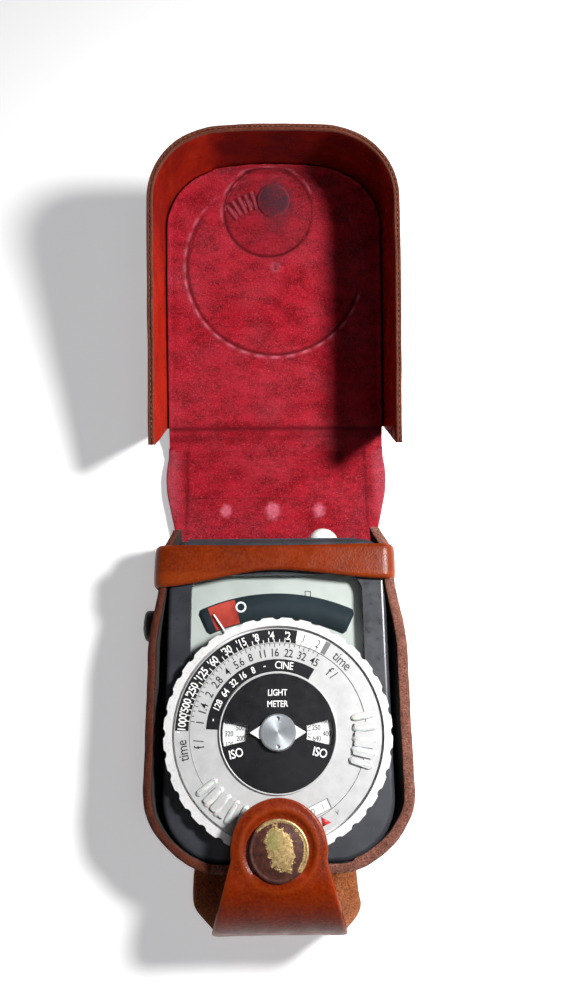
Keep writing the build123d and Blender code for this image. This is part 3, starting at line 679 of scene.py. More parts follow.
tray_wall()
tray_floor()
strap()
lanyard_tab()


# ============================ leather case: hinge strip ============================


def strip_half(y):
    return 26.1 + 2.8 * smooth(y, 47.0, 64.0) + 0.10 * wave(0, y, 4, 3.0)


def strip_point(x, y, h):
    """A point on the strip, y along the unfolded leather and h above its middle layer."""
    if y <= LID_FOLD_Y:
        return (x, y, FOLD_Z + h)
    bend = FOLD_RISE * LID_ANGLE
    if y >= LID_FOLD_Y + bend:
        return lid(x, y - LID_FOLD_Y - bend, h)
    a = (y - LID_FOLD_Y) / FOLD_RISE
    r = FOLD_RISE - h
    return (x, LID_FOLD_Y + r * math.sin(a), FOLD_Z + FOLD_RISE - r * math.cos(a))


def strip_edge(x, y):
    """How far the strip's free edges turn up, in millimetres."""
    return 0.45 * smooth(abs(x), 23.6, 26.0) * smooth(y, 46, 52) * smooth(y, 70, 63)


def strip_relief(x, y):
    """How far the velvet stands up or dips along the strip, in millimetres."""
    crease = 0.20 * peak(abs(x), 23.4, 0.35) * smooth(y, 47, 54) * smooth(y, 68, 60)
    folds = 0.05 * peak(y, 70.4, 0.9) + 0.15 * peak(y, FOLD_Y, 0.6)
    rumple = 0.09 * wave(x, y, 0, 6.0) + 0.05 * wave(x, y, 5, 2.0)
    return strip_edge(x, y) - crease - folds + rumple


def strip_piece(name, y0, y1, low, high, material, pile, columns, step):
    """A length of the strip's leather or, with pile, of its velvet."""
    relief = strip_relief if pile else strip_edge
    loops = []
    rows = round((y1 - y0) / step)
    for k in range(rows + 1):
        y = y0 + (y1 - y0) * k / rows
        half = strip_half(y) - (0.1 if pile else 0.25)
        half += (min(half, LID_HALF - 0.25) - half) * smooth(y, 66.0, 71.5)
        loop = []
        for j in range(columns + 1):
            u = -1 + 2 * j / columns
            roll = (0.25 if pile else 0.0) * smooth(abs(u), 0.985, 1.0)
            loop.append(strip_point(half * u, y, high + relief(half * u, y) - roll))
        for j in range(9):
            x = half * (1 - 2 * j / 8)
            loop.append(strip_point(x, y, low + strip_edge(x, y)))
        loops.append(loop)
    return sweep(name, loops, [material])


def strip_wear(x, y, z):
    """Three rubbed spots, and the edges."""
    share = 0.0
    for cx, cy, r in ((-13.1, 55.4, 1.5), (-0.9, 55.3, 1.9), (11.1, 55.4, 1.6)):
        d = math.hypot(x - cx, (y - cy) * 0.8)
        share = max(share, smooth(d + 0.5 * wave(x, y, 3, 0.9), r * 1.3, r * 0.35))
    edge = 0.30 * smooth(abs(x), 24.0, 27.5) * smooth(y, 50, 56)
    return min(1.0, 0.9 * share + edge)


# crushed nap, and painted shade in the strip's side creases and along the fold
def strip_press(x, y, z):
    return 0.6 * peak(abs(x), 23.4, 0.5) * smooth(y, 47, 54) + 0.12 * peak(y, 70.4, 0.9)


def hinge_strip():
    """The strip in two halves, meeting at its middle."""
    middle, hidden = 58.75, ("hinge_panel", "hinge_lining")
    for part, y0, y1, trim, bodies, start, end, nodes_hidden in (
        ("near", 45.4, middle, (0.2, 0), ("case", "hinge_strip"), 46.2, 48.6, hidden),
        ("far", middle, 73.2, (0, 0.7), ("hinge_strip", "lid"), 68.9, 71.7, None),
    ):
        hide = strip_piece("strip_leather_" + part, y0, y1, -0.8, 0.8, LEATHER, False, 40, 0.5)
        bevel(hide, 0.25)
        paint(hide, worn=lambda x, y, z: 0.3 * smooth(abs(x), 25.0, 27.0))
        name = "strip_velvet_" + part
        pile = strip_piece(name, y0 + trim[0], y1 - trim[1], 0.75, 1.2, VELVET, True, 150, 0.32)
        paint(pile, worn=strip_wear, press=strip_press)
        for k, (obj, slot) in enumerate(((hide, "leather_outer"), (pile, "velvet"))):
            place(obj, None, slot, *(nodes_hidden[k : k + 1] if nodes_hidden else ()))
            line = [(0, at * MM, FOLD_Z * MM) for at in (start, end)]
            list(bodies)
            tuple(line[0])
            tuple(line[1])
            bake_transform(obj)


hinge_strip()


# ============================ leather case: lid ============================

LID_OUTER = LID_HALF + 2 * PLY
LID_END = LID_LENGTH + 2 * PLY


def wall_start(h):
    """Where the lid's side walls begin, nearer to the fold at the rim than at the base."""
    return 8.0 - 5.8 * min(1.0, h / LID_RIM)


def lid_ring(name, profile, cut, materials, half, end, corner):
    """One ply of the lid's wall, from a closed loop of (outward, height) whose faces in cut are raw."""
    path = u_path(half, 2.0, end, corner, 0.7)
    loops = []
    last = len(path) - 1
    for i, (x, s, nx, ns) in enumerate(path):
        loop = []
        for off, h in profile:
            along = s
            if i in (0, last):
                along = wall_start(h) + (0.25 if h > LID_RIM - 0.5 else 0.0)
            elif abs(nx) > 0.99 and s < 10.0:
                along = max(s, wall_start(h) + 0.2 + 0.1 * min(i, last - i))
            bow = 0.18 * wave(x, s, h, 9.0) * smooth(h, 1.0, 8.0)
            ragged = 0.10 * wave(x * 1.3, s * 1.3, 0, 2.0) * smooth(h, 22.5, 23.6)
            loop.append(lid(x + nx * (off + bow), along + ns * (off + bow), h + ragged))
        loops.append(loop)
    return sweep(name, loops, materials, lambda i, j: int(j < 0 or j in cut))


def lid_shell():
    # outer ply: rounded into the back, up the wall, over the rim and down inside itself
    base = [(-2.4 + 2.4 * n, 1.6 - 2.4 * c) for c, n in map(direction, range(0, 91, 15))]
    outside = [(0.06, 4.0), (0.14, 8.0), (0.16, 12.0), (0.12, 16.0), (0.05, 20.0), (0.0, 23.2)]
    rim = [(-0.03, 23.75), (-0.16, 23.98), (-0.38, 24.06), (-0.58, 24.0), (-0.69, 23.86)]
    inside = [(-0.70, 23.4), (-0.70, 16.0), (-0.70, 8.0), (-0.72, 1.6), (-1.2, 0.85), (-2.4, 0.75)]
    edge = len(base) + len(outside) - 1
    cut = range(edge, edge + len(rim))
    profile = base + outside + rim + inside
    corner = LID_CORNER + 2 * PLY
    wall = lid_ring("lid_wall_leather", profile, cut, [LEATHER, RAW], LID_OUTER, LID_END, corner)
    place(wall, "lid", "leather_outer", "lid_wall")

    # inner ply: the smooth lining leather, cut level with the outer one
    loop = [(0.0, h) for h in (0.9, 2.0, 4.0, 8.0, 12.0, 16.0, 20.0, 23.3)]
    loop += [(0.04, 23.8), (0.16, 24.0), (0.36, 24.08), (0.55, 24.02), (0.66, 23.85)]
    loop += [(0.70, 23.4), (0.70, 12.0), (0.70, 2.0), (0.70, 0.9)]
    plies = [LEATHER_LINER, RAW]
    liner = lid_ring("lid_liner_leather", loop, range(7, 12), plies, LID_HALF, LID_LENGTH, LID_CORNER)

    def worn(x, y, z):
        torn = smooth(y, 118, 128) * smooth(wave(x * 3, y, z, 2.5), 0.15, 0.35)
        return 0.3 * smooth(x, -10, -24) * torn + 0.25 * smooth(z, 20, 6) * smooth(x, 0, -20)

    # painted shade on the liner: the far wall, the right wall and the far end of the left wall darken
    # towards near black
    def soil(x, y, z):
        far = 0.80 * smooth(y, 124, 131) * smooth(x + 5 * wave(x * 2, y, z, 5.0), -21, -9)
        return max(far, 0.55 * smooth(x, 18, 26), 0.55 * smooth(y, 108, 124) * smooth(x, -12, -24))

    paint(liner, worn=worn, soil=soil)
    place(liner, "lid", "leather_liner", "lid_wall_liner")

    # back: flat, meeting the wall's rounded foot
    loops = []
    for inset, level in ((2.3, -0.8), (2.0, -0.78), (1.9, 0.6), (2.2, 0.8)):
        path = u_path(LID_OUTER - inset, 0.9, LID_END - inset, corner - inset, 1.4)
        loops.append([lid(x, s, level) for x, s, _, _ in path])
    place(sweep("lid_back_leather", loops, [LEATHER]), "lid", "leather_outer", "lid_panel")


def stitches():
    """The seam between the two plies, sunk in the lid's rim."""
    verts, faces = [], []
    travel, previous = 0.0, None
    for x, s, nx, ns in u_path(LID_HALF + PLY, 3.0, LID_LENGTH + PLY, LID_CORNER + PLY, 0.25):
        if previous:
            travel += math.hypot(x - previous[0], s - previous[1])
        previous = (x, s)
        if travel < 1.15:
            continue
        travel = 0.0
        base = len(verts)
        for t in (-1, -0.5, 0, 0.5, 1):
            thick = 0.11 * math.sqrt(max(0.05, 1 - t * t * 0.9))
            for j in range(6):
                c, n = direction(60 * j)
                px, ps = x - ns * 0.40 * t + nx * thick * c, s + nx * 0.40 * t + ns * thick * c
                verts.append(lid(px, ps, 24.03 - 0.10 * t * t + thick * n))
        for m in range(base, base + 24, 6):
            faces += [(m + j, m + (j + 1) % 6, m + 6 + (j + 1) % 6, m + 6 + j) for j in range(6)]
        faces.append(tuple(range(base, base + 6)))
        faces.append(tuple(range(base + 29, base + 23, -1)))
    thread = moulded("thread_brown", (0.10, 0.03, 0.015), (0.22, 0.09, 0.05), 0.7)
    place(make("lid_seam_stitches", verts, faces, [thread]), "lid", "leather_outer")


def arc_share(x, s, cx, cs, low, high):
    """1 where a point's direction from (cx, cs) is from low to high degrees, fading outside."""
    a = math.degrees(math.atan2(s - cs, x - cx)) % 360
    return smooth(a, low - 14, low) * smooth(a, high + 14, high)


def velvet_marks(x, s):
    """(relief in millimetres, share of crushed nap and painted shade in dips and creases, rubbed share) of
    the lid's velvet.
    """
    # the large ring that the dial leaves; its dip is darkened as crushed nap and painted shade
    d = math.hypot(x, s - DIAL_S)
    dash = 0.55 + 0.45 * math.cos(36 * math.atan2(s - DIAL_S, x))
    strength = min(1.0, 0.12 + arc_share(x, s, 0, DIAL_S, 150, 335))
    ring, lip = strength * peak(d, 22.9, 0.42), strength * peak(d, 23.6, 0.38) * dash
    relief, press, rub = 0.34 * (lip - ring), 0.85 * ring, 0.95 * lip
    # the smaller round mark under the press stud's end
    cx, cs = -1.4, 64.4
    e = math.hypot(x - cx, s - cs)
    rim = (0.45 + 0.55 * arc_share(x, s, cx, cs, 95, 330)) * peak(e, 11.6, 0.40)
    crest = peak(e, 12.3, 0.35) * arc_share(x, s, cx, cs, 30, 190)
    crest *= 0.55 + 0.45 * math.cos(12 * math.atan2(s - cs, x - cx))
    rub += 0.6 * crest
    relief += 0.25 * crest - 0.34 * rim - 0.12 * smooth(e, 11.8, 11.0)
    press += 0.9 * rim + 0.30 * smooth(e, 12.0, 11.2)
    # five short bars inside it, left by the dial's finger ribs
    for k in range(5):
        c, n = direction(233 + 5.2 * k)
        along, across = x * c - (s - DIAL_S) * n, abs(x * n + (s - DIAL_S) * c)
        bar = smooth(across, 0.62, 0.3) * smooth(along, 15.7, 16.3) * smooth(along, 20.9, 20.3)
        gap = smooth(across, 1.05, 0.8) * smooth(along, 15.5, 16.3) * smooth(along, 21.1, 20.3)
        relief += 0.40 * bar - 0.20 * gap
        rub += 0.36 * bar
        press += 0.85 * max(0.0, gap - bar)
    # the dent that the dial's hub leaves
    g = math.hypot(x - 0.3, s - DIAL_S)
    relief += 0.22 * smooth(g, 2.3, 0.9) - 0.30 * peak(g, 0.2, 0.45)
    relief -= 0.24 * peak(g, 2.6, 0.4) * arc_share(x, s, 0.3, DIAL_S, 290, 359)
    rub += 0.25 * smooth(g, 2.0, 0.8)
    press += 0.5 * peak(g, 0.2, 0.4)
    # creases near the fold, darkened along their dips as painted shade
    relief -= 0.30 * peak(s, 7.5, 0.6) + 0.10 * peak(s, 6.0 + 0.02 * x, 0.5)
    press += 0.75 * peak(s, 7.5, 0.7) + 0.35 * peak(s, 5.3 + 0.02 * x, 0.9)
    relief += 0.11 * wave(x, s, 2, 7.0) + 0.08 * wave(x, s, 8, 1.8)
    return relief, min(1.0, press), min(1.0, rub)


def unlid(y, z):
    """Along and above the lid's own plane, for a point in space."""
    c, n = math.cos(LID_ANGLE), math.sin(LID_ANGLE)
    return (y - LID_Y) * c + (z - LID_Z) * n, (z - LID_Z) * c - (y - LID_Y) * n


def lid_velvet():
    end = LID_LENGTH - 0.35
    half_full = LID_HALF - 0.5
    corner = LID_CORNER - 0.35
    columns = 210
    rows, s = [], 1.55
    while s < end - 0.02:
        rows.append(s)
        s += 0.30 if s < end - 1.7 else 0.10
    loops = []
    for s in rows + [end]:
        half = half_full
        if s > end - corner:
            half += math.sqrt(max(0.0, corner**2 - (s - end + corner) ** 2)) - corner
        last = smooth(s, end - 1.3, end)
        top = []
        for j in range(columns + 1):
            u = -1 + 2 * j / columns
            x = half * u
            # its cut edge runs a little way up the wall, unevenly, and further up the far wall
            far = (2.3 + 0.3 * wave(x, 0, 3, 4.0) - 1.0 * (x / 13.0) ** 2) * last
            inset = smooth(s, end - corner - 1, end) * smooth(abs(u), 0.95, 1.0)
            wall = max(smooth(abs(x), half_full - 1.3, half_full), last, inset)
            climb = (0.75 + 0.35 * wave(x, s, 7, 2.6)) * wall * smooth(s, 3.0, 8.0) + far
            top.append(lid(x, s, 1.2 + velvet_marks(x, s + far)[0] + climb))
        loops.append(top + [lid(half * (1 - 2 * j / 8), s, 0.82) for j in range(9)])
    obj = sweep("lid_velvet", loops, [VELVET])

    def along(y, z):
        s, height = unlid(y, z)
        return s + max(0.0, height - 2.2)

    def worn(x, y, z):
        s = along(y, z)
        patch = 0.075 * smooth(wave(x, s, 20, 9.0), 0.0, 0.6) * smooth(s, 70, 40)
        return min(1.0, velvet_marks(x, s)[2] + 0.35 * smooth(abs(x), 28.0, 28.4) + patch)

    def stain(x, y, z):
        s = along(y, z)
        d = math.hypot(x - 0.4, s - STUD_S)
        halo = 0.85 * smooth(d + 1.8 * wave(x, s, 1, 1.3), 6.8, 2.6)
        return max(halo, 0.45 * smooth(math.hypot(x - 1.0, (s - 63.0) * 0.7), 4.5, 1.0))

    paint(obj, worn=worn, press=lambda x, y, z: velvet_marks(x, along(y, z))[1], stain=stain)
    place(obj, "lid", "velvet", "lid_lining")


def stud_cover():
    """The washer over the press stud's shank, worn dark and sunk in the nap."""
    rings = 12
    loops = []
    for k in range(rings + 1):
        t = k / rings
        loop = []
        for j in range(48):
            c, n = direction(7.5 * j)
            r = max(0.02, 4.35 * t * (1 + 0.04 * wave(3 * c, 3 * n, 0, 1.5)))
            x, s = r * c, STUD_S + r * n
            loop.append(lid(x, s, 1.16 + 0.58 * (1 - t**2.6) + 0.06 * wave(x, s, 4, 1.4)))
        loops.append(loop)
    loops.append([lid(p[0], STUD_S + 4.2 * direction(7.5 * j)[1], 1.0) for j, p in enumerate(loops[-1])])
    obj = sweep("stud_washer_cover", loops, [VELVET])

    def away(x, y, z):
        return math.hypot(x, unlid(y, z)[0] - STUD_S)

    paint(
        obj,
        worn=lambda x, y, z: 0.12 * smooth(away(x, y, z), 3.4, 4.2),
        press=lambda x, y, z: 0.3,
        stain=lambda x, y, z: 0.96 * smooth(away(x, y, z) + 0.7 * wave(x, y, z, 1.3), 5.4, 3.0),
    )
    place(obj, "lid", "velvet", "stud_washer")


lid_shell()
stitches()
lid_velvet()
stud_cover()


# ============================ leather case: tongue and press stud ============================

CURL_Y = -27.0
CURL_Z = 14.3
CURL_R = 13.4
SNAP_Y = -22.8
TIP_R = 9.9
HIDE = 1.4


def tongue_half(y, turned):
    """Half the tongue's width at a place that has turned this many degrees round the curl."""
    base = 18.7 - 4.5 * smooth(turned, 44.0, 88.0)
    if turned < 90:
        return base
    if y > SNAP_Y - 1.9:
        rise = min(TIP_R - 0.001, y - SNAP_Y)
        return math.sqrt(TIP_R**2 - rise**2)
    return min(base, 9.72 + (SNAP_Y - 1.9 - y) / 15.7 * 4.5)


def tongue():
    stations = []  # y, z of the leather's middle, outward direction, degrees turned
    for k in range(4, 91):
        c, n = direction(2.0 * k)
        stations.append((CURL_Y - CURL_R * n, CURL_Z - CURL_R * c, -n, -c, 2.0 * k))
    top = CURL_Z + CURL_R
    y = CURL_Y + 0.4
    while y < SNAP_Y + 6.0:
        stations.append((y, top, 0.0, 1.0, 180.0))
        y += 0.4
    first = math.asin(6.0 / TIP_R)
    for k in range(1, 18):
        a = first + (math.radians(88.5) - first) * k / 17
        stations.append((SNAP_Y + TIP_R * math.sin(a), top, 0.0, 1.0, 180.0))
    across = 57
    loops = []
    for y, z, ny, nz, turned in stations:
        half = tongue_half(y, turned)
        outer, inner = [], []
        for j in range(across):
            u = -1 + 2 * j / (across - 1)
            u = math.copysign(1 - (1 - abs(u)) ** 1.25, u)
            x = half * u
            plump = HIDE / 2 * max(0.0, 1 - abs(u) ** 22) ** 0.5
            crown = 0.0
            if turned >= 180:
                d = math.hypot(x, y - SNAP_Y)
                crown = 0.16 * peak(d, 7.9, 0.55) - 0.42 * smooth(d, 7.3, 6.5)
            sag = 0.225 * smooth(turned, 60, 120) * smooth(turned, 175, 150) * (1 - u * u)
            out = plump + crown + 0.06 * wave(x, y, z, 6.0) - sag
            back = plump + sag
            rag = math.copysign(0.10 * wave(y * 1.4, z * 1.4, u, 1.5), u) * smooth(abs(u), 0.9, 1.0)
            xx = x + rag - smooth(turned, 70, 26)
            # the wide foot's shoulders lift a little off the table
            lift = 0.8 * smooth(abs(x), 14.5, 18.7) * smooth(turned, 60, 34) * smooth(turned, 14, 30)
            outer.append((xx, y + ny * out, max(0.05, z + nz * out + lift)))
            inner.append((xx, y - ny * back, z - nz * back + lift))
        loops.append(outer + inner[::-1])
    obj = sweep("tongue_leather", loops, [LEATHER, RAW, SUEDE], band_sides(across))

    def worn(x, y, z):
        # a paler ring on the crown round the stud: rubbed leather and a painted highlight
        ring = 0.35 * peak(math.hypot(x, y - SNAP_Y), 7.8, 0.5) * smooth(z, 26.5, 28.0)
        half = tongue_half(y, 180.0 if z > CURL_Z else 60.0)
        side = 0.45 * smooth(abs(x), half - 0.9, half - 0.1)
        return min(1.0, ring + side + 0.30 * smooth(y, -38.6, -40.8) * smooth(z, 12, 20))

    paint(obj, worn=worn)
    place(obj, None, "leather_outer", "tongue", "tongue_base")
    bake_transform(obj)


def snap_cap():
    """A domed brass cap with a rolled rim, sitting in the dent of the tongue."""
    profile = [(0.0, 0.95), (1.2, 0.94), (2.4, 0.89), (3.6, 0.78), (4.6, 0.63), (5.2, 0.52)]
    profile += [(5.45, 0.50), (5.65, 0.56), (5.85, 0.55), (6.02, 0.42), (6.05, 0.22)]
    profile += [(5.98, 0.02), (5.8, -0.12), (5.5, -0.16), (1.2, -0.16), (1.2, -1.2), (0.0, -1.2)]
    obj = revolve("snap_cap_brass", profile, (0, SNAP_Y, 28.45), [BRASS])

    def worn(x, y, z):
        # bare metal shows in a ragged upright patch; along the rim's right and far side, towards the lamp,
        # the bare gold is partly wear and partly a painted highlight
        y -= SNAP_Y
        d = math.hypot(x, y)
        px, py = x - 0.3 + 0.22 * y, y - 0.4
        patch = smooth(math.hypot(px * 1.10, py * 0.72), 4.6, 1.4)
        tail = smooth(math.hypot((px - 0.5) * 1.8, (py + 3.0) * 0.9), 2.2, 0.4)
        # painted highlight, partly wear: bright bare metal on the rim's right and far side
        rim = smooth(d, 4.7, 5.6) * smooth(x, 1.0, 4.0) * smooth(y, -5.5, -2)
        top = smooth(d, 5.0, 5.6) * smooth(y, 2.5, 4.5)
        return max(0.80 * patch, 0.80 * tail, rim, 0.75 * top)

    def green(x, y, z):
        return smooth(math.hypot(x + 1.1, (y - SNAP_Y - 2.0) * 0.8), 2.4, 0.5)

    paint(obj, worn=worn, green=green)
    place(obj, "tongue_flap", "brass", "snap_cap")


tongue()
snap_cap()


# ============================ printing on the meter ============================


def lettering(items, level, weight):
    """Vertices and faces for text laid flat. Items are (text, size, x, y, degrees)."""
    depth, squeeze = 0.02, 0.84
    verts, faces = [], []
    for text, size, x, y, turn in items:
        data = bpy.data.curves.new("t", "FONT")
        data.body, data.size = text, size
        data.align_x = data.align_y = "CENTER"
        data.extrude, data.offset = depth / 2, weight
        data.resolution_u = 3
        data.space_character = 0.94
        holder = bpy.data.objects.new("t", data)
        mesh = bpy.data.meshes.new_from_object(holder)
        # capitals and figures sit above the line: centre them by their own box
        xs = [v.co.x for v in mesh.vertices]
        ys = [v.co.y for v in mesh.vertices]
        cx, cy = (min(xs) + max(xs)) / 2, (min(ys) + max(ys)) / 2
        c, n = direction(turn)
        base = len(verts)
        for v in mesh.vertices:
            px, py = (v.co.x - cx) * squeeze, v.co.y - cy
            verts.append((x + px * c - py * n, y + px * n + py * c, level + depth / 2 + v.co.z))
        faces += [tuple(base + i for i in p.vertices) for p in mesh.polygons]
        bpy.data.meshes.remove(mesh)
        bpy.data.objects.remove(holder)
        bpy.data.curves.remove(data)
    return verts, faces


def printed(obj, body):
    """Flat shading, as thin ink needs, and the body it rides on."""
    obj.data.polygons.foreach_set("use_smooth", [False] * len(obj.data.polygons))
    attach(obj, body)


def written(name, items, level, material, body, weight=0.0):
    printed(make(name, *lettering(items, level, weight), [material]), body)


def round_text(entries, radius, size):
    """Items set round a circle, each reading with its foot towards the centre."""
    items = []
    for text, degrees in entries:
        c, n = direction(degrees)
        items.append((text, size, radius * c, radius * n, degrees - 90))
    return items


def sector(inner, outer, start, end, level, depth, steps, centre=(0.0, 0.0), pull=lambda a: 0.0):
    """Loops of a thin arc-shaped patch, which pull(degrees) makes narrower."""
    loops = []
    for k in range(steps + 1):
        a = start + (end - start) * k / steps
        c, n = direction(a)
        radii = inner + pull(a), outer - pull(a)
        order = ((0, depth), (1, depth), (1, 0.0), (0, 0.0))
        loops.append([(centre[0] + radii[i] * c, centre[1] + radii[i] * n, level + h) for i, h in order])
    return loops


def arc_patch(name, inner, outer, start, end, level, material, body, depth=0.02, centre=(0.0, 0.0)):
    steps = max(4, round(abs(end - start) / 3))
    printed(sweep(name, sector(inner, outer, start, end, level, depth, steps, centre), [material]), body)


def marks(name, lines, level, material, body):
    """Thin printed bars, each from one point to another with a width."""
    verts, faces = [], []
    sides = ((3, 2, 1, 0), (4, 5, 6, 7), (0, 1, 5, 4), (1, 2, 6, 5), (2, 3, 7, 6), (3, 0, 4, 7))
    for x0, y0, x1, y1, width in lines:
        dx, dy = x1 - x0, y1 - y0
        length = math.hypot(dx, dy)
        nx, ny = -dy / length * width / 2, dx / length * width / 2
        faces += [tuple(len(verts) + i for i in f) for f in sides]
        for z in (level, level + 0.02):
            verts += [(x0 + nx, y0 + ny, z), (x0 - nx, y0 - ny, z)]
            verts += [(x1 - nx, y1 - ny, z), (x1 + nx, y1 + ny, z)]
    printed(make(name, verts, faces, [material]), body)


def outline(corners, width):
    """The bars round a closed outline."""
    return [(*p, *q, width) for p, q in zip(corners, corners[1:] + corners[:1])]


def radial(inner, outer, degrees, width):
    c, n = direction(degrees)
    return (inner * c, inner * n, outer * c, outer * n, width)


def time_scale():
    """Shutter times on the outer ring of the dial."""
    top, body = DIAL_Z, "speed_setting"
    for part, start, end, ink in (
        ("black", 78.2, 178.5, INK),
        ("white", 61.0, 78.0, INK_WHITE),
        ("stop", 57.5, 60.6, INK_GREY),
    ):
        arc_patch("time_band_" + part, 19.35, 22.25, start, end, top, ink, body)
    angles = (174, 164, 154, 143.5, 133, 122.5, 112.5, 103, 93.5, 83.5)
    texts = ("'1000", "'500", "'250", "'125", "'60", "'30", "'15", "'8", "'4", "'2")
    written("time_numbers", round_text(zip(texts, angles), 20.85, 2.45), top + 0.02, INK_WHITE, body, 0.035)
    written("time_numbers_long", round_text([("1", 73.5), ("2", 64.2)], 20.85, 2.5), top + 0.02, INK, body)
    written("time_words", round_text([("time", 46.5), ("time", 190.0)], 20.7, 3.1), top, INK, body)
    ticks = [radial(19.35, 19.95 + (0 if k % 3 else 0.35), 64.0 + 3.5 * k, 0.16) for k in range(32)]
    marks("time_ticks", ticks[5:], top + 0.02, INK_WHITE, body)
    marks("time_ticks_dark", ticks[:5], top + 0.02, INK, body)


def f_scale():
    """Apertures, and the frame rates of moving pictures, on the ring inside it."""
    top, body = 22.6, "dial"
    names = ("1", "1.4", "2", "2.8", "4", "5.6", "8", "11", "16", "22", "32", "45")
    angles = (172.5, 162, 151.5, 141, 130.5, 120, 110.5, 101, 91.5, 81.5, 71.5, 61.5)
    written("f_numbers", round_text(zip(names, angles), 17.05, 2.5), top, INK, body, 0.02)
    written("f_words", round_text([("f /", 46.0), ("f /", 187.5)], 17.2, 3.2), top, INK, body)
    ticks = [radial(18.5 if k % 3 else 18.2, 19.05, 61.5 + 3.36 * k, 0.15) for k in range(34)]
    marks("f_ticks", ticks, top, INK, body)
    arc_patch("cine_band", 12.95, 15.6, 58.5, 177.0, top, INK, body)
    cine = [("-", 169), ("128", 155.5), ("64", 143.5), ("32", 132.5), ("16", 122), ("8", 112), ("-", 101.5)]
    written("cine_numbers", round_text(cine, 14.3, 2.05), top + 0.02, INK_WHITE, body, 0.03)
    written("cine_word", round_text([("CINE", 84.0)], 14.3, 2.3), top + 0.02, INK_WHITE, body, 0.02)


def centre_print():
    """Film speeds seen through the two windows, and plain words on the black disc."""
    low, top = 21.8, 23.0
    left = (("800", 2.35, 10.6), ("500", 1.05, 8.2), ("320", -0.15, 10.6), ("200", -1.15, 8.1))
    left += (("125", -2.4, 10.4),)
    right = (("160", 2.3, 10.3), ("250", 0.95, 8.3), ("400", -0.35, 10.6), ("640", -1.3, 8.4))
    lines, items = [], []
    for side, texts in ((-1, left), (1, right)):
        items += [(text, 1.55, side * x, y, 0) for text, y, x in texts]
        for y0, y1 in ((1.1, 1.75), (0.45, 0.5), (-0.5, -0.55), (-1.0, -1.7)):
            lines.append((side * 6.4, y0 * 0.75, side * 7.1, y1 * 0.75, 0.12))
    written("speed_numbers", items, low, INK, "speed_setting")
    marks("speed_lines", lines, low, INK, "speed_setting")
    words = [("ISO", 2.6, -9.0, -4.2, 14), ("ISO", 2.6, 9.0, -4.2, -14)]
    written("speed_words", words, top, INK_WHITE, "dial", 0.03)
    words = [("LIGHT", 1.9, 0, 8.4, 0), ("METER", 1.9, 0, 6.0, 0)]
    written("centre_words", words, top, INK_WHITE, "dial", 0.02)
    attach(sweep("centre_disc_rim", sector(12.45, 12.75, 0, 360, 22.62, 0.42, 120), [SILVER]), "dial")


def plate_print():
    """The small window with two figures, its red pointer and letter, on the dial's outer ring."""
    body, tilt = "speed_setting", 25.0
    cx, cy = (17.6 * part for part in direction(-62.5))
    c, n = direction(tilt)

    def at(u, v):
        return (cx + u * c - v * n, cy + u * n + v * c)

    corners = [at(-2.7, -1.05), at(2.7, -1.05), at(2.7, 1.05), at(-2.7, 1.05)]
    marks("log_window_face", [(*at(-2.7, 0), *at(2.7, 0), 2.1)], 22.82, INK_WHITE, body)
    marks("log_window_frame", outline(corners, 0.12), 22.83, INK_GREY, body)
    marks("log_window_edge", [(*at(2.78, -1.1), *at(2.78, 1.1), 0.28)], 22.84, INK_GREY, body)
    figures = [("10", 1.8, *at(-1.2, 0), tilt), ("1", 1.8, *at(1.3, 0), tilt)]
    written("log_window_numbers", figures, 22.85, INK_GREY, body)
    tips = ((-0.5, -3.55), (1.5, -3.55), (0.0, -1.6))
    verts = [(*at(u, v), z) for z in (22.8, 22.83) for u, v in tips]
    faces = [(2, 1, 0), (3, 4, 5), (0, 1, 4, 3), (1, 2, 5, 4), (2, 0, 3, 5)]
    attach(make("log_pointer", verts, faces, [INK_RED]), body)
    written("log_letter", [("v", 2.1, *at(3.5, -2.4), tilt - 8)], DIAL_Z, INK_GREY, body)


def finger_ribs():
    """Clear rounded bars for a finger to turn the dial by, over the plate's own ribs."""
    verts, faces = [], []
    rows = 18
    for middle in (-5.0, 231.0):
        for k in range(5):
            c, n = direction(middle + 7.5 * (k - 2))
            base = len(verts)
            for i in range(rows + 1):
                t = -1 + 2 * i / rows
                end = max(0.02, 1 - abs(t) ** 5) ** 0.5
                for j in range(9):
                    b = math.pi * j / 8
                    u, v, w = 18.8 + 2.75 * t, 0.80 * end * math.cos(b), 0.62 * end * math.sin(b) ** 0.8
                    verts.append((u * c - v * n, u * n + v * c, DIAL_Z - 0.05 + max(0.0, w)))
            for m in range(base, base + rows * 9, 9):
                faces += [(m + j, m + j + 1, m + j + 10, m + j + 9) for j in range(8)]
                faces.append((m + 8, m, m + 9, m + 17))
            faces.append(tuple(base + j for j in range(9)))
            faces.append(tuple(base + rows * 9 + j for j in reversed(range(9))))
    glassy = {"Coat_Weight": 0.7, "Coat_Roughness": 0.08}
    s = Shader("rib_clear", Subsurface_Weight=0.4, Subsurface_Scale=0.001, **glassy)
    s.colour(s.mix(s.ramp(s.noise(1.2, 3.0), 0.35, 0.65), (0.52, 0.52, 0.52), (0.72, 0.72, 0.71)))
    s.rough(0.14)
    place(make("finger_ribs_clear", verts, faces, [s.material]), "speed_setting", "dial_metal")


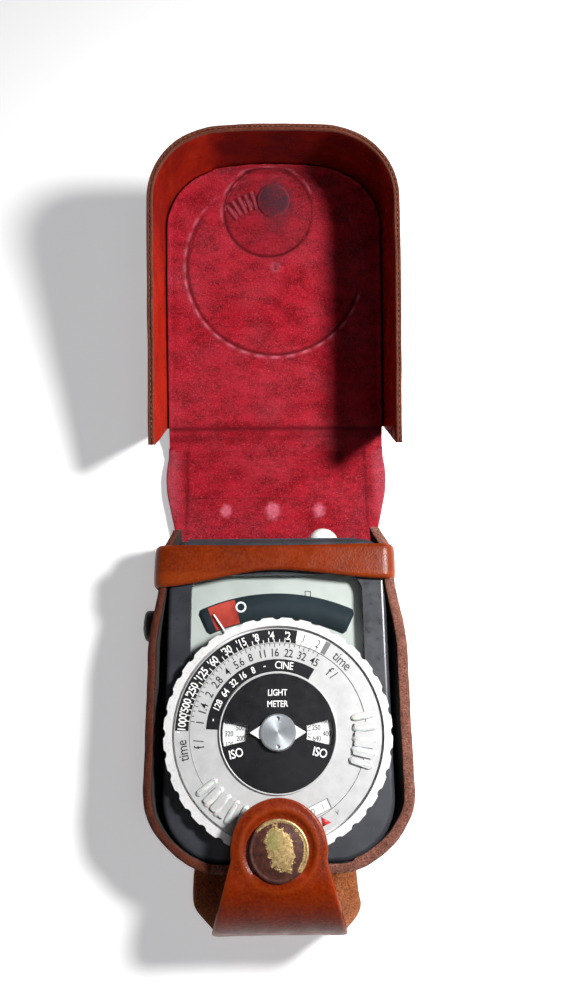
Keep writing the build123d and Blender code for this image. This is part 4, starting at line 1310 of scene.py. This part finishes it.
def meter_scale():
    """The printed arc behind the needle, with its red end, a ring and a small square."""
    top, body = 17.5, "case"
    centre = (-0.35, -11.9)
    start, end = 64.5, 115.0

    def rounded(a):
        near = min(1.0, min(abs(a - start), abs(end - a)) / 1.3)
        return 0.9 * (1 - math.sqrt(1 - (1 - near) ** 2))

    band = sector(36.8, 43.0, start, end, top, 0.03, 60, centre, rounded)
    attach(sweep("scale_band_print", band, [BAND]), body)
    arc_patch("scale_red_print", 37.1, 42.7, 102.8, 111.6, top + 0.03, RED_ZONE, body, 0.02, centre)
    arc_patch("scale_ring_print", 0.85, 1.25, 0, 360, top + 0.05, INK_WHITE, body, 0.03, (-8.35, 28.0))
    x, y, r = 7.2, 30.9, 0.62
    corners = [(x - r, y - r), (x + r, y - r), (x + r, y + r), (x - r, y + r)]
    marks("scale_square_print", outline(corners, 0.14), top + 0.05, INK, body)


time_scale()
f_scale()
centre_print()
plate_print()
finger_ribs()
meter_scale()


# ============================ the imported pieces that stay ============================

# (material, and each node with the width in millimetres of the bevel on its sharp edges)
KEPT = (
    (BRASS_PLAIN, {"strap_rivets": 0.0, "snap_socket": 0.15, "movement_bridge": 0.08}),
    (BRASS_PLAIN, {"bearing_screws": 0.05, "battery_contacts": 0.04, "switch_contacts": 0.04}),
    (BRASS_PLAIN, {"wiper": 0.04, "hairspring": 0.0}),
    (STUD, {"lid_stud": 0.1}),
    (SHELL, {"rear_shell": 0.0, "front_shell": 0.32, "slider_rails": 0.1}),
    (CLEAR, {"window": 0.0, "cell_window": 0.0}),
    (CARD, {"scale_plate": 0.05, "board_resistors": 0.15}),
    (STEEL, {"shell_screws": 0.08, "yoke": 0.08, "core_magnet": 0.08, "battery": 0.25}),
    (STEEL, {"coil_frame": 0.04, "battery_cover": 0.12, "zero_adjust_screw": 0.08}),
    (DARK_METAL, {"photocell": 0.15}),
    (BOARD, {"resistor_track": 0.05, "circuit_board": 0.05, "switch_block": 0.1}),
    (BLACK, {"calibration_trimmer": 0.08, "power_button": 0.0, "dome_slider": 0.08}),
    (RING_METAL, {"dial_ring": 0.14, "hub": 0.12}),
    (SILVER, {"f_number_disc": 0.02, "dial_plate": 0.03}),
    (DISC_BLACK, {"centre_disc": 0.08}),
    (SPUN, {"hub_nut": 0.0, "dial_spindle": 0.02}),
    (PALE_DISC, {"speed_disc": 0.05}),
    (INK_WHITE, {"needle": 0.0}),
    (OPAL, {"incident_dome": 0.0}),
)
for material, widths in KEPT:
    for key, width in widths.items():
        obj = nodes[key]
        obj.data.materials.clear()
        obj.data.materials.append(material)
        if width:
            bevel(obj, width, 3, 50)
